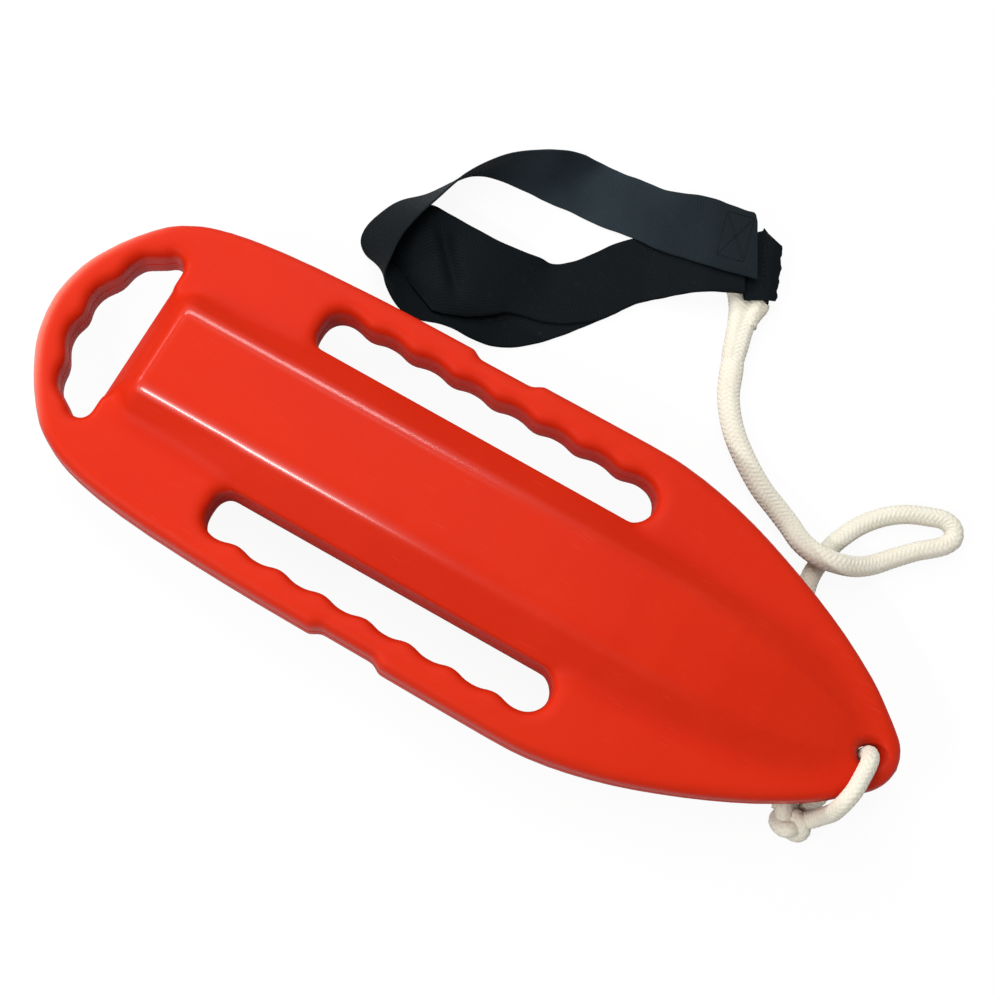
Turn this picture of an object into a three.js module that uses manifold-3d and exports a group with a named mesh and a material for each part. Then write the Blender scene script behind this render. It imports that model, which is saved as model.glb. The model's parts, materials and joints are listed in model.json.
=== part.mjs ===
// Rescue can buoy: a foam-filled, blow-moulded float with three finger-grip handles,
// a rope made fast through its nose and a webbing shoulder strap on the rope's eye.
// Millimetres, +Z up. The float's flat underside stands on z = 0 and its centre line
// is the x axis; +X points to the nose, +Y to the side on which the strap lies.

import * as THREE from 'three';
import { mergeVertices } from 'three/addons/utils/BufferGeometryUtils.js';
import Module from 'manifold-3d';

const wasm = await Module();
wasm.setup();

// Float
const canLength = 709;
const canWidth = 247;
const canHeight = 88;
const rimThickness = 44;
const noseThickness = 31;
const gripRound = 8.6;
const shellWall = 3;

// Side handle slots
const sideBar = 25;
const slotWidth = 36.5;
const gripCount = 8;
const gripDepth = 3.6;
const slotCorner = 13;
const slotShoulder = 15;

// Rear handle slot
const rearBar = 22;
const rearSlotCorner = 9;
const rearGripDepth = 4;
const rearGripPitch = 37;

// Notch in the outer edge of each side handle
const notchLength = 58;
const notchRamp = 7;
const notchDepth = 4.7;

// Raised pod along the middle of the float
const podCorner = 7;
const heelFootHeight = 11;

// Hole through the nose
const holeSetback = 23.3;
const holeRadius = 9.5;
const holeFlare = 4;

// Filling hole and its plug, in the underside
const plugBore = 8;
const plugFlange = 12;
const plugFlangeHeight = 1.6;
const plugRecess = 2.2;
const plugStem = 6;
const plugBoss = 4;

// Rope
const ropeDiameter = 14;
const knotSize = new THREE.Vector3(34, 27, 23);
const knotTurn = -35;

// Webbing
const strapWidth = 50;
const strapThickness = 1.6;
const loopReach = 290;
const loopSetback = 9;
const loopInset = 35;
const eyeRamp = 52;
const tabBack = 40;
const sleeveLength = 20;

// Thread
const stitchWidth = 1.2;
const stitchHeight = 0.5;
const boxStitchLength = 22;
const boxStitchWidth = 38;
const rowStitchLength = 42;
const rowStitchPitch = 4;
const rowStitchSpread = 2.4;

// Clearances
const gap = 0.3;
const foamGap = 0.8;
const bandGap = 0.5;
const podLip = 0.4;
const cutOverrun = 10;

// Fineness of the round parts
const outlineSteps = 46;
const plugSides = 32;
const holeSides = 20;
const ropeSides = 8;
const spliceSides = 12;
const bandCells = 3;
const bandSteps = 2;

// Colours
const red = { color: 0xd8281a, roughness: 0.38, metalness: 0 };
const foamCream = { color: 0xe8dcae, roughness: 0.95, metalness: 0 };
const ropeCream = { color: 0xe9e2d2, roughness: 0.9, metalness: 0 };
const webbingBlack = { color: 0x191e26, roughness: 0.85, metalness: 0 };
const threadBlack = { color: 0x101318, roughness: 0.8, metalness: 0 };

// Half outline of the float: place as a share of the length, half width as a share of
// the largest half width.
const outlineShares = [
  [-0.4958, 0], [-0.489, 0.24], [-0.4765, 0.401], [-0.459, 0.561], [-0.435, 0.721],
  [-0.414, 0.8], [-0.392, 0.855], [-0.349, 0.911], [-0.282, 0.952], [-0.192, 0.977],
  [-0.113, 0.986], [0.011, 0.993], [0.125, 1], [0.169, 0.99], [0.214, 0.948],
  [0.26, 0.879], [0.305, 0.789], [0.35, 0.684], [0.395, 0.561], [0.44, 0.41],
  [0.463, 0.31], [0.485, 0.202], [0.4975, 0.121], [0.5032, 0],
];

// Places along the float as shares of its length.
const slotRearShare = -0.2384;
const gripStartShare = -0.2169;
const gripPitchShare = 0.05021;
const rearSlotFrontShare = -0.3949;
const notchShare = -0.0458;
const heelTopShare = -0.3611;
const taperStartShare = 0.141;
const plugShare = -0.2116;

// Rear slot: half width as a share of the float's half width, and bow of its grip as a
// share of the slot's depth.
const rearSlotHalfShare = 0.5814;
const rearSlotBowShare = 0.4242;

// Pod stations: place as a share of the length, half width at the rim as a share of the
// slots' inner edge, half width of the top and its height as shares of the full ones.
const podShares = [
  [-0.3836, 0.875, 1.32, 0.5], [-0.378, 0.885, 1.22, 0.625], [-0.367, 0.9, 1.08, 0.875],
  [-0.3615, 0.91, 1.02, 0.985], [-0.356, 0.92, 1, 1], [-0.235, 1, 1, 1], [0.127, 1, 1, 1],
  [0.183, 1, 1, 0.982], [0.24, 0.96, 1, 0.93], [0.296, 0.92, 0.95, 0.845],
  [0.353, 0.88, 0.86, 0.725], [0.396, 0.8, 0.72, 0.6], [0.432, 0.62, 0.56, 0.47],
  [0.462, 0.42, 0.36, 0.34],
];
const podBaseShare = 0.9;
const podLeastShare = 0.8;
const podTopShare = 0.492;
const heelHalfShare = 0.79;

// Upper edge of the pod's cross-section: shares of the corner outwards and downwards
// from the edge of the top.
const podCornerShares = [[1, 0.55], [0, 0.12], [-1, 0]];

// Wall of the nose hole: shares of the flare outwards from the bore and above the nose.
const holeShares = [[2, 1], [0.5, -0.25], [0, -1.6]];
const plugTaperShare = 0.85;
const plugNeckShare = 0.8;

// Tow rope from the knot, under the float, round one open loop on the floor and over
// itself to the splice: shares of the length and width of the float, and the height of
// the rope's middle as a multiple of its height when it rests on the floor.
const towShares = [
  [0.427, -0.235, 1.08], [0.42, -0.174, 1], [0.413, -0.105, 1], [0.403, -0.024, 1],
  [0.391, 0.065, 1], [0.375, 0.17, 1], [0.36, 0.275, 1], [0.348, 0.364, 1],
  [0.3425, 0.433, 1], [0.3435, 0.5, 1], [0.3475, 0.566, 1], [0.3535, 0.61, 1],
  [0.364, 0.667, 1], [0.382, 0.729, 1], [0.4035, 0.775, 1], [0.426, 0.803, 1],
  [0.4415, 0.817, 1], [0.4542, 0.808, 1], [0.4595, 0.777, 1], [0.4546, 0.745, 1],
  [0.443, 0.7125, 1], [0.431, 0.684, 1], [0.4126, 0.6293, 1], [0.3937, 0.5695, 1.25],
  [0.3769, 0.5304, 2.1], [0.3577, 0.5056, 2.95], [0.3365, 0.4958, 3.12],
  [0.315, 0.5136, 2.45], [0.2958, 0.5535, 1.35], [0.275, 0.585, 1], [0.252, 0.615, 1],
  [0.22, 0.676, 1], [0.193, 0.745, 1], [0.172, 0.83, 1], [0.161, 0.911, 1],
  [0.153, 0.984, 1],
];

// Nose loop from the knot up over the near edge of the nose, down the hole and back to
// the knot: distance in front of the hole as a share of its setback, place across as a
// share of the half width at the hole, height from 0, under the nose, to 1, over it.
const noseShares = [
  [-0.75, -1.83, 0.095], [-0.41, -1.68, 0.22], [-0.25, -1.56, 0.39], [-0.16, -1.5, 0.58],
  [-0.13, -1.44, 0.78], [-0.08, -1.24, 0.96], [-0.01, -0.96, 1.02], [0.02, -0.62, 1.02],
  [0.03, -0.24, 0.985], [0.01, -0.03, 0.84], [0, 0, 0.61], [0, -0.045, 0.36],
  [-0.06, -0.27, 0.136], [-0.24, -0.63, 0.02], [-0.45, -1.11, 0], [-0.67, -1.59, 0.02],
];
const knotShares = [0.4386, -0.255];
const knotLiftShare = 0.53;

// The two sides of the rope's eye: along and out of the eye's frame in rope diameters,
// and height from 0, on the floor, to 1, on the axis of the sleeve.
const eyeShares = [[-1.5, -0.337, 0], [-1.07, -0.33, 0], [-0.43, -0.07, 0.9], [0.14, 0, 1]];
const eyeReturnShares = [
  [1.07, -1.51, 0], [0.29, -1.35, 0], [-0.5, -1.37, 0], [-1.07, -1.38, 0], [-1.5, -1.38, 0],
];
const eyeFootShare = -1.5;
const eyeMiddleShare = -0.858;
const eyeSpreadShare = 0.52;
const eyeTurnShare = 0.83;
const eyeStraightShare = 0.57;
const eyePlaceShares = [0.1495, 1.154];

// Webbing stations: places back and across as shares of the loop's reach, the plan
// direction in degrees from the inner to the outer edge, the tilt of that line up from
// the floor in degrees, and the number of bands that the station lies on.
const loopShares = [
  [0.06, 0.246, 104, 0, 2.6], [0.1, 0.235, 102, 0, 2.6], [0.167, 0.219, 98, 0, 2.6],
  [0.245, 0.216, 96, 0, 2.6], [0.33, 0.209, 97, 0, 2.3], [0.4, 0.2, 97, 0, 1.1],
  [0.47, 0.192, 94, 0, 0.1], [0.54, 0.189, 89, 0, 0], [0.597, 0.164, 81, 23, 0],
  [0.652, 0.14, 72, 58, 0], [0.726, 0.112, 45, 64, 0], [0.779, 0.079, 20, 70, 0],
  [0.826, 0.017, -47, 71, 0], [0.872, -0.084, -37, 60, 0], [0.907, -0.131, -25, 49, 0],
  [0.928, -0.191, -21, 43, 0], [0.938, -0.243, -14, 42, 0], [0.928, -0.29, -17, 48, 0],
  [0.893, -0.336, -34, 58, 0], [0.847, -0.375, -57, 68, 0], [0.81, -0.376, -65, 52, 0],
  [0.767, -0.36, -68, 39, 0], [0.723, -0.32, -72, 25, 0], [0.673, -0.291, -75, 15, 0],
  [0.598, -0.279, -77, 6, 0], [0.547, -0.26, -68, 0, 0], [0.498, -0.222, -54, 0, 0],
  [0.455, -0.172, -44, 0, 0], [0.386, -0.08, -38, 0, 0], [0.314, 0.014, -41, 0, 0],
  [0.24, 0.087, -50, 0, 0], [0.15, 0.15, -57, 0, 0], [0.065, 0.199, -60, 0, 0],
];
const tailShares = [
  [0.807, -0.3086, -27, 18, 3.2], [0.793, -0.162, -42, -12, 3.6], [0.703, -0.177, -70, -18, 2.9],
  [0.64, -0.175, -79, -13, 2.7], [0.557, -0.159, -81, -7, 1.9], [0.507, -0.145, -74, -3, 1],
  [0.463, -0.133, -58, 0, 1], [0.386, -0.08, -38, 0, 1], [0.314, 0.014, -41, 0, 1],
  [0.24, 0.087, -50, 0, 1], [0.15, 0.15, -57, 0, 1], [0.065, 0.199, -60, 0, 1],
];
const boxStitchShares = [0.11, 0.236];
const boxStitchTurn = -166;
const topLayer = 2.6;

// Worked out from the sizes above
const midHeight = canHeight / 2;
const rimHalf = rimThickness / 2;
const tailX = outlineShares[0][0] * canLength;
const noseX = outlineShares.at(-1)[0] * canLength;
const holeX = noseX - holeSetback;
const taperStart = taperStartShare * canLength;
const slotOuter = canWidth / 2 - sideBar;
const slotInner = slotOuter - slotWidth;
const slotRear = slotRearShare * canLength;
const gripPitch = gripPitchShare * canLength;
const gripStart = gripStartShare * canLength;
const gripEnd = gripStart + (gripCount - 1) * gripPitch;
const rearSlotFront = rearSlotFrontShare * canLength;
const rearSlotHalf = rearSlotHalfShare * canWidth / 2;
const rearSlotBow = rearSlotBowShare * (rearSlotFront - tailX - rearBar);
const notchMiddle = notchShare * canLength;
const podTopHalf = podTopShare * slotInner;
const heelTop = heelTopShare * canLength;
const heelHalf = heelHalfShare * slotInner;
const plugX = plugShare * canLength;
const plugDepth = plugRecess + plugBoss;
const ropeRadius = ropeDiameter / 2;
const ropeRest = ropeRadius + gap;
const sleeveInner = ropeRadius + gap;
const sleeveOuter = sleeveInner + strapThickness;
const eyeAxisHeight = sleeveOuter + gap;
const tabTop = eyeAxisHeight + sleeveOuter + gap;
const layerPitch = strapThickness + bandGap;

// Solids
function toManifold(geometry) {
  const bare = geometry.clone();
  bare.deleteAttribute('normal');
  bare.deleteAttribute('uv');
  const merged = mergeVertices(bare, 1e-4);
  const vertProperties = new Float32Array(merged.attributes.position.array);
  const triVerts = new Uint32Array(merged.index.array);
  return new wasm.Manifold(new wasm.Mesh({ numProp: 3, vertProperties, triVerts }));
}

function toGeometry(solid) {
  const mesh = solid.getMesh();
  const geometry = new THREE.BufferGeometry();
  geometry.setAttribute('position', new THREE.BufferAttribute(mesh.vertProperties, 3));
  geometry.setIndex(new THREE.BufferAttribute(mesh.triVerts, 1));
  geometry.computeVertexNormals();
  return geometry;
}

function plugCylinder(radius, bottom, top) {
  const geometry = new THREE.CylinderGeometry(radius, radius, top - bottom, plugSides);
  geometry.rotateX(Math.PI / 2);
  geometry.translate(plugX, 0, (bottom + top) / 2);
  return toManifold(geometry);
}

// A flat shape drawn in the plane of along and out, thickened from bottom to top.
function slabSolid(shape, bottom, top, frame) {
  const geometry = new THREE.ExtrudeGeometry(shape, { depth: top - bottom, bevelEnabled: false });
  geometry.translate(0, 0, bottom);
  geometry.applyMatrix4(frame);
  return toManifold(geometry);
}

// A closed skin over rings of equal point count, capped flat at both ends. Each cell is
// split along its shorter diagonal.
function skinGeometry(rings) {
  const count = rings[0].length;
  const points = rings.flat();
  const index = [];
  for (let i = 0; i < rings.length - 1; i += 1) {
    for (let j = 0; j < count; j += 1) {
      const a = i * count + j;
      const b = i * count + (j + 1) % count;
      const rising = points[a].distanceTo(points[b + count]);
      const falling = points[b].distanceTo(points[a + count]);
      if (rising < falling) index.push(a, b, b + count, a, b + count, a + count);
      else index.push(a, b, a + count, b, b + count, a + count);
    }
  }
  const last = (rings.length - 1) * count;
  for (let j = 1; j < count - 1; j += 1) {
    index.push(0, j + 1, j);
    index.push(last, last + j, last + j + 1);
  }
  const geometry = new THREE.BufferGeometry().setFromPoints(points);
  geometry.setIndex(index);
  return geometry;
}

// Points of the upper half of the outline from tail to nose, moved in by inset.
function halfOutline(inset) {
  const knots = outlineShares.map(([x, y]) => new THREE.Vector2(x * canLength, y * canWidth / 2));
  const mirrored = (p) => new THREE.Vector2(p.x, -p.y);
  const curve = new THREE.SplineCurve([mirrored(knots[1]), ...knots, mirrored(knots.at(-2))]);
  const span = 1 / (knots.length + 1);
  const points = [];
  for (let i = 0; i <= outlineSteps; i += 1) {
    const t = span + (1 - 2 * span) * (i / outlineSteps);
    const tangent = curve.getTangent(t);
    const point = curve.getPoint(t);
    point.x += tangent.y * inset;
    point.y -= tangent.x * inset;
    if (i === 0 || i === outlineSteps) point.y = 0;
    points.push(point);
  }
  return points;
}

function sideAt(points, x) {
  const next = points.findIndex((p) => p.x >= x);
  const share = (x - points[next - 1].x) / (points[next].x - points[next - 1].x);
  return THREE.MathUtils.lerp(points[next - 1].y, points[next].y, share);
}

function notchedHalf(inset) {
  const smooth = halfOutline(inset);
  const reach = notchLength / 2 + inset;
  const floor = reach - notchRamp;
  const kept = smooth.filter((p) => Math.abs(p.x - notchMiddle) > reach + gap || p.y <= 0);
  const corners = [[-reach, 0], [-floor, notchDepth], [floor, notchDepth], [reach, 0]];
  for (const [x, depth] of corners) {
    const place = notchMiddle + x;
    kept.push(new THREE.Vector2(place, sideAt(smooth, place) - depth));
  }
  return kept.sort((a, b) => a.x - b.x);
}

function outlineShape(inset) {
  const upper = notchedHalf(inset);
  const lower = upper.slice(1, -1).map((p) => new THREE.Vector2(p.x, -p.y)).reverse();
  return new THREE.Shape([...upper, ...lower].reverse());
}

function arcPoints(x, y, radius, from, to, steps) {
  const points = [];
  for (let i = 0; i <= steps; i += 1) {
    const angle = THREE.MathUtils.degToRad(THREE.MathUtils.lerp(from, to, i / steps));
    points.push(new THREE.Vector2(x + radius * Math.cos(angle), y + radius * Math.sin(angle)));
  }
  return points;
}

// Height of the bump between two finger grooves, from 0 to 1.
function bumpShare(place, pitch) {
  return ((1 - Math.cos(2 * Math.PI * place / pitch)) / 2) ** 1.5;
}

// Side slot on the +Y side. Grown by inset it loses its finger grooves.
function sideSlot(inset) {
  const inner = slotInner - inset;
  const outer = slotOuter + inset;
  const nose = (outer - inner) / 2;
  const corner = slotCorner + inset;
  const shoulder = slotShoulder + inset;
  const rear = slotRear - inset;
  const points = [];
  points.push(...arcPoints(rear + corner, inner + corner, corner, 180, 270, 4));
  points.push(...arcPoints(gripEnd, inner + nose, nose, -90, 90, 8));
  if (inset === 0) {
    const steps = (gripCount - 1) * 6;
    for (let i = steps - 1; i > 0; i -= 1) {
      const place = (i / 6) * gripPitch;
      points.push(new THREE.Vector2(gripStart + place, outer - gripDepth * bumpShare(place, gripPitch)));
    }
  }
  points.push(...arcPoints(rear + shoulder, outer - shoulder, shoulder, 90, 180, 4));
  return points;
}

// Rear slot: a straight front edge and a bowed, grooved grip.
function rearSlot(inset) {
  const front = rearSlotFront + inset;
  const half = rearSlotHalf + inset;
  const corner = rearSlotCorner + inset;
  const deepest = tailX + rearBar - inset;
  const waist = half - corner;
  const points = [];
  points.push(...arcPoints(front - corner, waist, corner, 0, 150, 5));
  const steps = 28;
  const grooved = inset === 0 ? rearGripDepth : 0;
  for (let i = 1; i < steps; i += 1) {
    const y = THREE.MathUtils.lerp(waist, -waist, i / steps);
    const bowed = deepest + rearSlotBow * (y / waist) ** 2;
    const bump = Math.abs(y) < 1.5 * rearGripPitch ? bumpShare(y + rearGripPitch / 2, rearGripPitch) : 0;
    points.push(new THREE.Vector2(bowed + grooved * bump, y));
  }
  points.push(...arcPoints(front - corner, -waist, corner, 210, 360, 5));
  return points;
}

// Flat rim with its three slots. It thins in a straight taper towards the nose.
function rimSolid(inset, bevelSegments) {
  const shape = outlineShape(inset);
  const side = sideSlot(inset);
  shape.holes.push(new THREE.Path(side));
  shape.holes.push(new THREE.Path(side.map((p) => new THREE.Vector2(p.x, -p.y))));
  shape.holes.push(new THREE.Path(rearSlot(inset)));
  const round = gripRound - inset;
  const geometry = new THREE.ExtrudeGeometry(shape, {
    depth: rimThickness - 2 * inset - 2 * round,
    bevelThickness: round,
    bevelSize: round,
    bevelOffset: -round,
    bevelSegments,
    curveSegments: 1,
  });
  geometry.translate(0, 0, -(rimHalf - inset - round));
  const position = geometry.attributes.position;
  for (let i = 0; i < position.count; i += 1) {
    position.setZ(i, position.getZ(i) * rimShare(position.getX(i), inset));
  }
  return toManifold(geometry);
}

function rimShare(x, inset) {
  const along = Math.max(0, (x - taperStart) / (noseX - taperStart));
  const thin = (noseThickness / 2 - inset) / (rimHalf - inset);
  return 1 - along * (1 - thin);
}

function podRing([along, base, top, height], inset) {
  const first = podShares[0][0];
  const x = along * canLength + (along === first ? inset - podLip : 0);
  const baseY = base * (slotInner + podLip) - inset;
  const baseZ = (rimHalf - inset) * podBaseShare * rimShare(x, inset);
  const topZ = Math.max(height * midHeight - inset, baseZ * podLeastShare);
  const topY = Math.min(top * podTopHalf - inset / 2, baseY - inset / 2);
  const round = Math.max(0, Math.min(podCorner, (topZ - baseZ) / 2, (baseY - topY) / 2));
  const quarter = [[baseY, baseZ]];
  for (const [out, down] of podCornerShares) quarter.push([topY + round * out, topZ - round * down]);
  const back = [...quarter].reverse();
  const ring = [];
  for (const [y, z] of quarter) ring.push(new THREE.Vector3(x, y, z));
  for (const [y, z] of back) ring.push(new THREE.Vector3(x, -y, z));
  for (const [y, z] of quarter) ring.push(new THREE.Vector3(x, -y, -z));
  for (const [y, z] of back) ring.push(new THREE.Vector3(x, y, -z));
  return ring;
}

function podSolid(inset) {
  return toManifold(skinGeometry(podShares.map((row) => podRing(row, inset))));
}

// Wedge that carries the slope of the pod's rear face down into the rear slot.
function heelSolid(inset) {
  const run = heelTop - rearSlotFront;
  const rise = midHeight - heelFootHeight;
  const shift = inset * Math.hypot(run, rise) / rise;
  const behind = rearSlotFront - cutOverrun;
  const reach = (rimHalf + gap - heelFootHeight) / rise;
  const wedge = new THREE.Shape([
    new THREE.Vector2(behind, heelFootHeight),
    new THREE.Vector2(rearSlotFront + shift, heelFootHeight),
    new THREE.Vector2(rearSlotFront + shift + run * reach, rimHalf + gap),
    new THREE.Vector2(behind, rimHalf + gap),
  ]);
  const half = heelHalf + inset;
  const frame = new THREE.Matrix4().makeRotationX(Math.PI / 2);
  const above = slabSolid(wedge, -half, half, frame);
  return above.add(above.mirror([0, 0, 1]));
}

// Flared hole through the nose, wider by the growth asked for.
function holeSolid(grow) {
  const half = noseThickness / 2;
  const wall = holeShares.map(([out, up]) => [holeRadius + out * holeFlare, half + up * holeFlare]);
  const lower = wall.map(([r, z]) => [r, -z]);
  const profile = [[-grow, lower[0][1]], ...lower, ...wall.reverse()];
  profile.push([-grow, profile.at(-1)[1]]);
  const points = profile.map(([r, z]) => new THREE.Vector2(r + grow, z));
  const geometry = new THREE.LatheGeometry(points, holeSides);
  geometry.rotateX(Math.PI / 2);
  geometry.translate(holeX, 0, 0);
  return toManifold(geometry);
}

function floatSolid(inset, bevelSegments) {
  const rim = rimSolid(inset, bevelSegments);
  const body = rim.add(podSolid(inset)).subtract(heelSolid(inset)).subtract(holeSolid(inset));
  return body.translate([0, 0, midHeight]);
}

// Float shell, its foam and the plug of the filling hole
function canShell() {
  const boss = plugCylinder(plugFlange + shellWall, -cutOverrun, plugDepth);
  return floatSolid(0, 3)
    .subtract(floatSolid(shellWall, 1).subtract(boss))
    .subtract(plugCylinder(plugFlange + gap, -cutOverrun, plugRecess))
    .subtract(plugCylinder(plugBore + gap, -cutOverrun, plugDepth + shellWall));
}

function foamCore() {
  return floatSolid(shellWall + foamGap, 1)
    .subtract(plugCylinder(plugFlange + shellWall + gap, -cutOverrun, plugDepth + gap))
    .subtract(plugCylinder(plugBore + gap, 0, plugRecess + plugStem + gap));
}

function fillPlug() {
  const base = plugRecess - gap - plugFlangeHeight;
  const flangeTop = base + plugFlangeHeight;
  const stemTop = flangeTop + plugStem;
  const profile = [
    [0, base], [plugFlange - plugFlangeHeight / 2, base], [plugFlange, base + plugFlangeHeight / 2],
    [plugFlange, flangeTop], [plugBore, flangeTop], [plugBore, flangeTop + plugStem * plugNeckShare],
    [plugBore * plugTaperShare, stemTop], [0, stemTop],
  ];
  const geometry = new THREE.LatheGeometry(profile.map(([r, z]) => new THREE.Vector2(r, z)), plugSides);
  geometry.rotateX(Math.PI / 2);
  geometry.translate(plugX, 0, 0);
  return toManifold(geometry);
}

// Rope: a round section along a route
function ropeSolid(route, steps) {
  const section = new THREE.Shape();
  for (let i = 0; i < ropeSides; i += 1) {
    const angle = (i + 0.5) * 2 * Math.PI / ropeSides;
    const point = [ropeRadius * Math.cos(angle), ropeRadius * Math.sin(angle)];
    if (i === 0) section.moveTo(...point);
    else section.lineTo(...point);
  }
  section.closePath();
  const curve = new THREE.CatmullRomCurve3(route, false, 'centripetal');
  const geometry = new THREE.ExtrudeGeometry(section, { steps, extrudePath: curve, curveSegments: 1 });
  return toManifold(geometry);
}

// The knot lies on the floor beside the nose, half under the rim.
function knotSolid(grow) {
  const geometry = new THREE.SphereGeometry(1, 16, 10);
  geometry.rotateX(Math.PI / 2);
  geometry.scale(knotSize.x / 2 + grow, knotSize.y / 2 + grow, knotSize.z / 2 + grow);
  geometry.rotateZ(THREE.MathUtils.degToRad(knotTurn));
  const [along, across] = knotShares;
  geometry.translate(along * canLength, across * canWidth, knotLiftShare * knotSize.z);
  return toManifold(geometry);
}

function towRoute() {
  return towShares.map(([along, across, rests]) => (
    new THREE.Vector3(along * canLength, across * canWidth, rests * ropeRest)
  ));
}

function noseRoute() {
  const edge = sideAt(halfOutline(0), holeX);
  const over = midHeight + rimHalf * rimShare(holeX, 0) + ropeRest;
  return noseShares.map(([front, across, level]) => (
    new THREE.Vector3(holeX + front * holeSetback, across * edge, THREE.MathUtils.lerp(ropeRest, over, level))
  ));
}

// Eye frame: along points up the sleeve, out points away from the strap.
const [eyeX, eyeY] = [eyePlaceShares[0] * canLength, eyePlaceShares[1] * canWidth];
const eyeOrigin = new THREE.Vector3(eyeX, eyeY, 0);
const eyeAlong = new THREE.Vector3(-0.36, 0.933, 0).normalize();
const eyeOut = new THREE.Vector3(eyeAlong.y, -eyeAlong.x, 0);
function eyePoint(along, out, z) {
  return eyeOrigin.clone().addScaledVector(eyeAlong, along).addScaledVector(eyeOut, out).setZ(z);
}

function eyeRow([along, out, level]) {
  const height = THREE.MathUtils.lerp(ropeRest, eyeAxisHeight, level);
  return eyePoint(along * ropeDiameter, out * ropeDiameter, height);
}

function eyeRoute() {
  const turn = eyeTurnShare * ropeDiameter;
  const turnAlong = sleeveLength + eyeStraightShare * ropeDiameter;
  const route = eyeShares.map(eyeRow);
  for (const along of [sleeveLength / 2, sleeveLength, turnAlong]) {
    route.push(eyePoint(along, 0, eyeAxisHeight));
  }
  for (let i = 1; i <= 4; i += 1) {
    const angle = i * Math.PI / 4;
    const height = THREE.MathUtils.lerp(eyeAxisHeight, ropeRest, i / 4);
    route.push(eyePoint(turnAlong + turn * Math.sin(angle), turn * (Math.cos(angle) - 1), height));
  }
  route.push(...eyeReturnShares.map(eyeRow));
  return route;
}

// Splice: one strand wide where it meets the rope, two strands wide at the eye.
function spliceSolid() {
  const [before, foot] = towRoute().slice(-2);
  const footRun = foot.clone().sub(before).normalize();
  const head = eyePoint(eyeFootShare * ropeDiameter - 2 * gap, eyeMiddleShare * ropeDiameter, ropeRest);
  const headHalf = eyeSpreadShare * ropeDiameter + ropeRadius;
  const rings = [];
  const steps = 4;
  for (let i = 0; i <= steps; i += 1) {
    const share = i / steps;
    const run = footRun.clone().lerp(eyeAlong, share).normalize();
    const across = new THREE.Vector3(run.y, -run.x, 0);
    const centre = foot.clone().addScaledVector(footRun, gap).lerp(head, share);
    const wide = THREE.MathUtils.lerp(ropeRadius, headHalf, Math.sin(share * Math.PI / 2));
    const ring = [];
    for (let j = 0; j < spliceSides; j += 1) {
      const angle = -j * 2 * Math.PI / spliceSides;
      const point = centre.clone().addScaledVector(across, Math.cos(angle) * wide);
      ring.push(point.setZ(centre.z + Math.sin(angle) * ropeRadius));
    }
    rings.push(ring);
  }
  return toManifold(skinGeometry(rings));
}

// The bands climb over the eye of the rope and the tab of the sleeve.
function eyeRise(point) {
  const out = (point.x - eyeOrigin.x) * eyeOut.x + (point.y - eyeOrigin.y) * eyeOut.y;
  return (tabTop + gap) * THREE.MathUtils.smoothstep(out, -tabBack - eyeRamp, -tabBack - gap);
}

const loopOrigin = eyeOrigin.clone().sub(new THREE.Vector3(loopSetback, loopInset, 0));
function loopPlace([back, across]) {
  return new THREE.Vector3(-back, across, 0).multiplyScalar(loopReach).add(loopOrigin);
}

// Webbing is a band swept along its stations.
function bandSolid(shares) {
  const degrees = THREE.MathUtils.degToRad;
  const states = shares.map(([, , turn, tilt, layer]) => (
    new THREE.Vector3(degrees(turn), degrees(tilt), layer)
  ));
  const plan = new THREE.CatmullRomCurve3(shares.map(loopPlace), false, 'catmullrom', 0.5);
  const state = new THREE.CatmullRomCurve3(states, false, 'catmullrom', 0.5);
  const steps = (shares.length - 1) * bandSteps;
  const rings = [];
  for (let i = 0; i <= steps; i += 1) {
    const run = plan.getTangent(i / steps);
    const centre = plan.getPoint(i / steps);
    const { x: turn, y: tilt, z: layer } = state.getPoint(i / steps);
    const outward = new THREE.Vector3(Math.cos(turn), Math.sin(turn), 0);
    const width = outward.multiplyScalar(Math.cos(tilt)).setZ(Math.sin(tilt));
    const normal = width.clone().cross(run).normalize();
    const lift = gap + Math.max(layer, 0) * layerPitch + Math.abs(Math.sin(tilt)) * strapWidth / 2;
    centre.z = lift + Math.abs(normal.z) * strapThickness / 2;
    const under = [];
    const over = [];
    for (let j = 0; j <= bandCells; j += 1) {
      const point = centre.clone().addScaledVector(width, strapWidth * (0.5 - j / bandCells));
      point.z += eyeRise(point);
      under.push(point.clone().addScaledVector(normal, -strapThickness / 2));
      over.unshift(point.clone().addScaledVector(normal, strapThickness / 2));
    }
    rings.push([...under, ...over]);
  }
  return toManifold(skinGeometry(rings));
}

// Sleeve: webbing folded round one strand of the eye, with its tab under the bands.
function sleeveSolid() {
  const tubeShape = new THREE.Shape().absarc(0, 0, sleeveOuter, 0, 2 * Math.PI);
  tubeShape.holes.push(new THREE.Path().absarc(0, 0, sleeveInner, 0, 2 * Math.PI));
  const tube = new THREE.ExtrudeGeometry(tubeShape, {
    depth: sleeveLength,
    bevelEnabled: false,
    curveSegments: 10,
  });
  const basis = new THREE.Matrix4().makeBasis(eyeOut, new THREE.Vector3(0, 0, -1), eyeAlong);
  tube.applyMatrix4(basis.setPosition(eyePoint(0, 0, eyeAxisHeight)));
  const corners = [[0, -tabBack], [0, sleeveOuter], [strapWidth, sleeveOuter], [strapWidth, -tabBack]];
  const bottom = corners.map(([along, out]) => eyePoint(along, out, tabTop - strapThickness));
  const top = corners.map(([along, out]) => eyePoint(along, out, tabTop));
  return toManifold(tube).add(toManifold(skinGeometry([bottom, top])));
}

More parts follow.
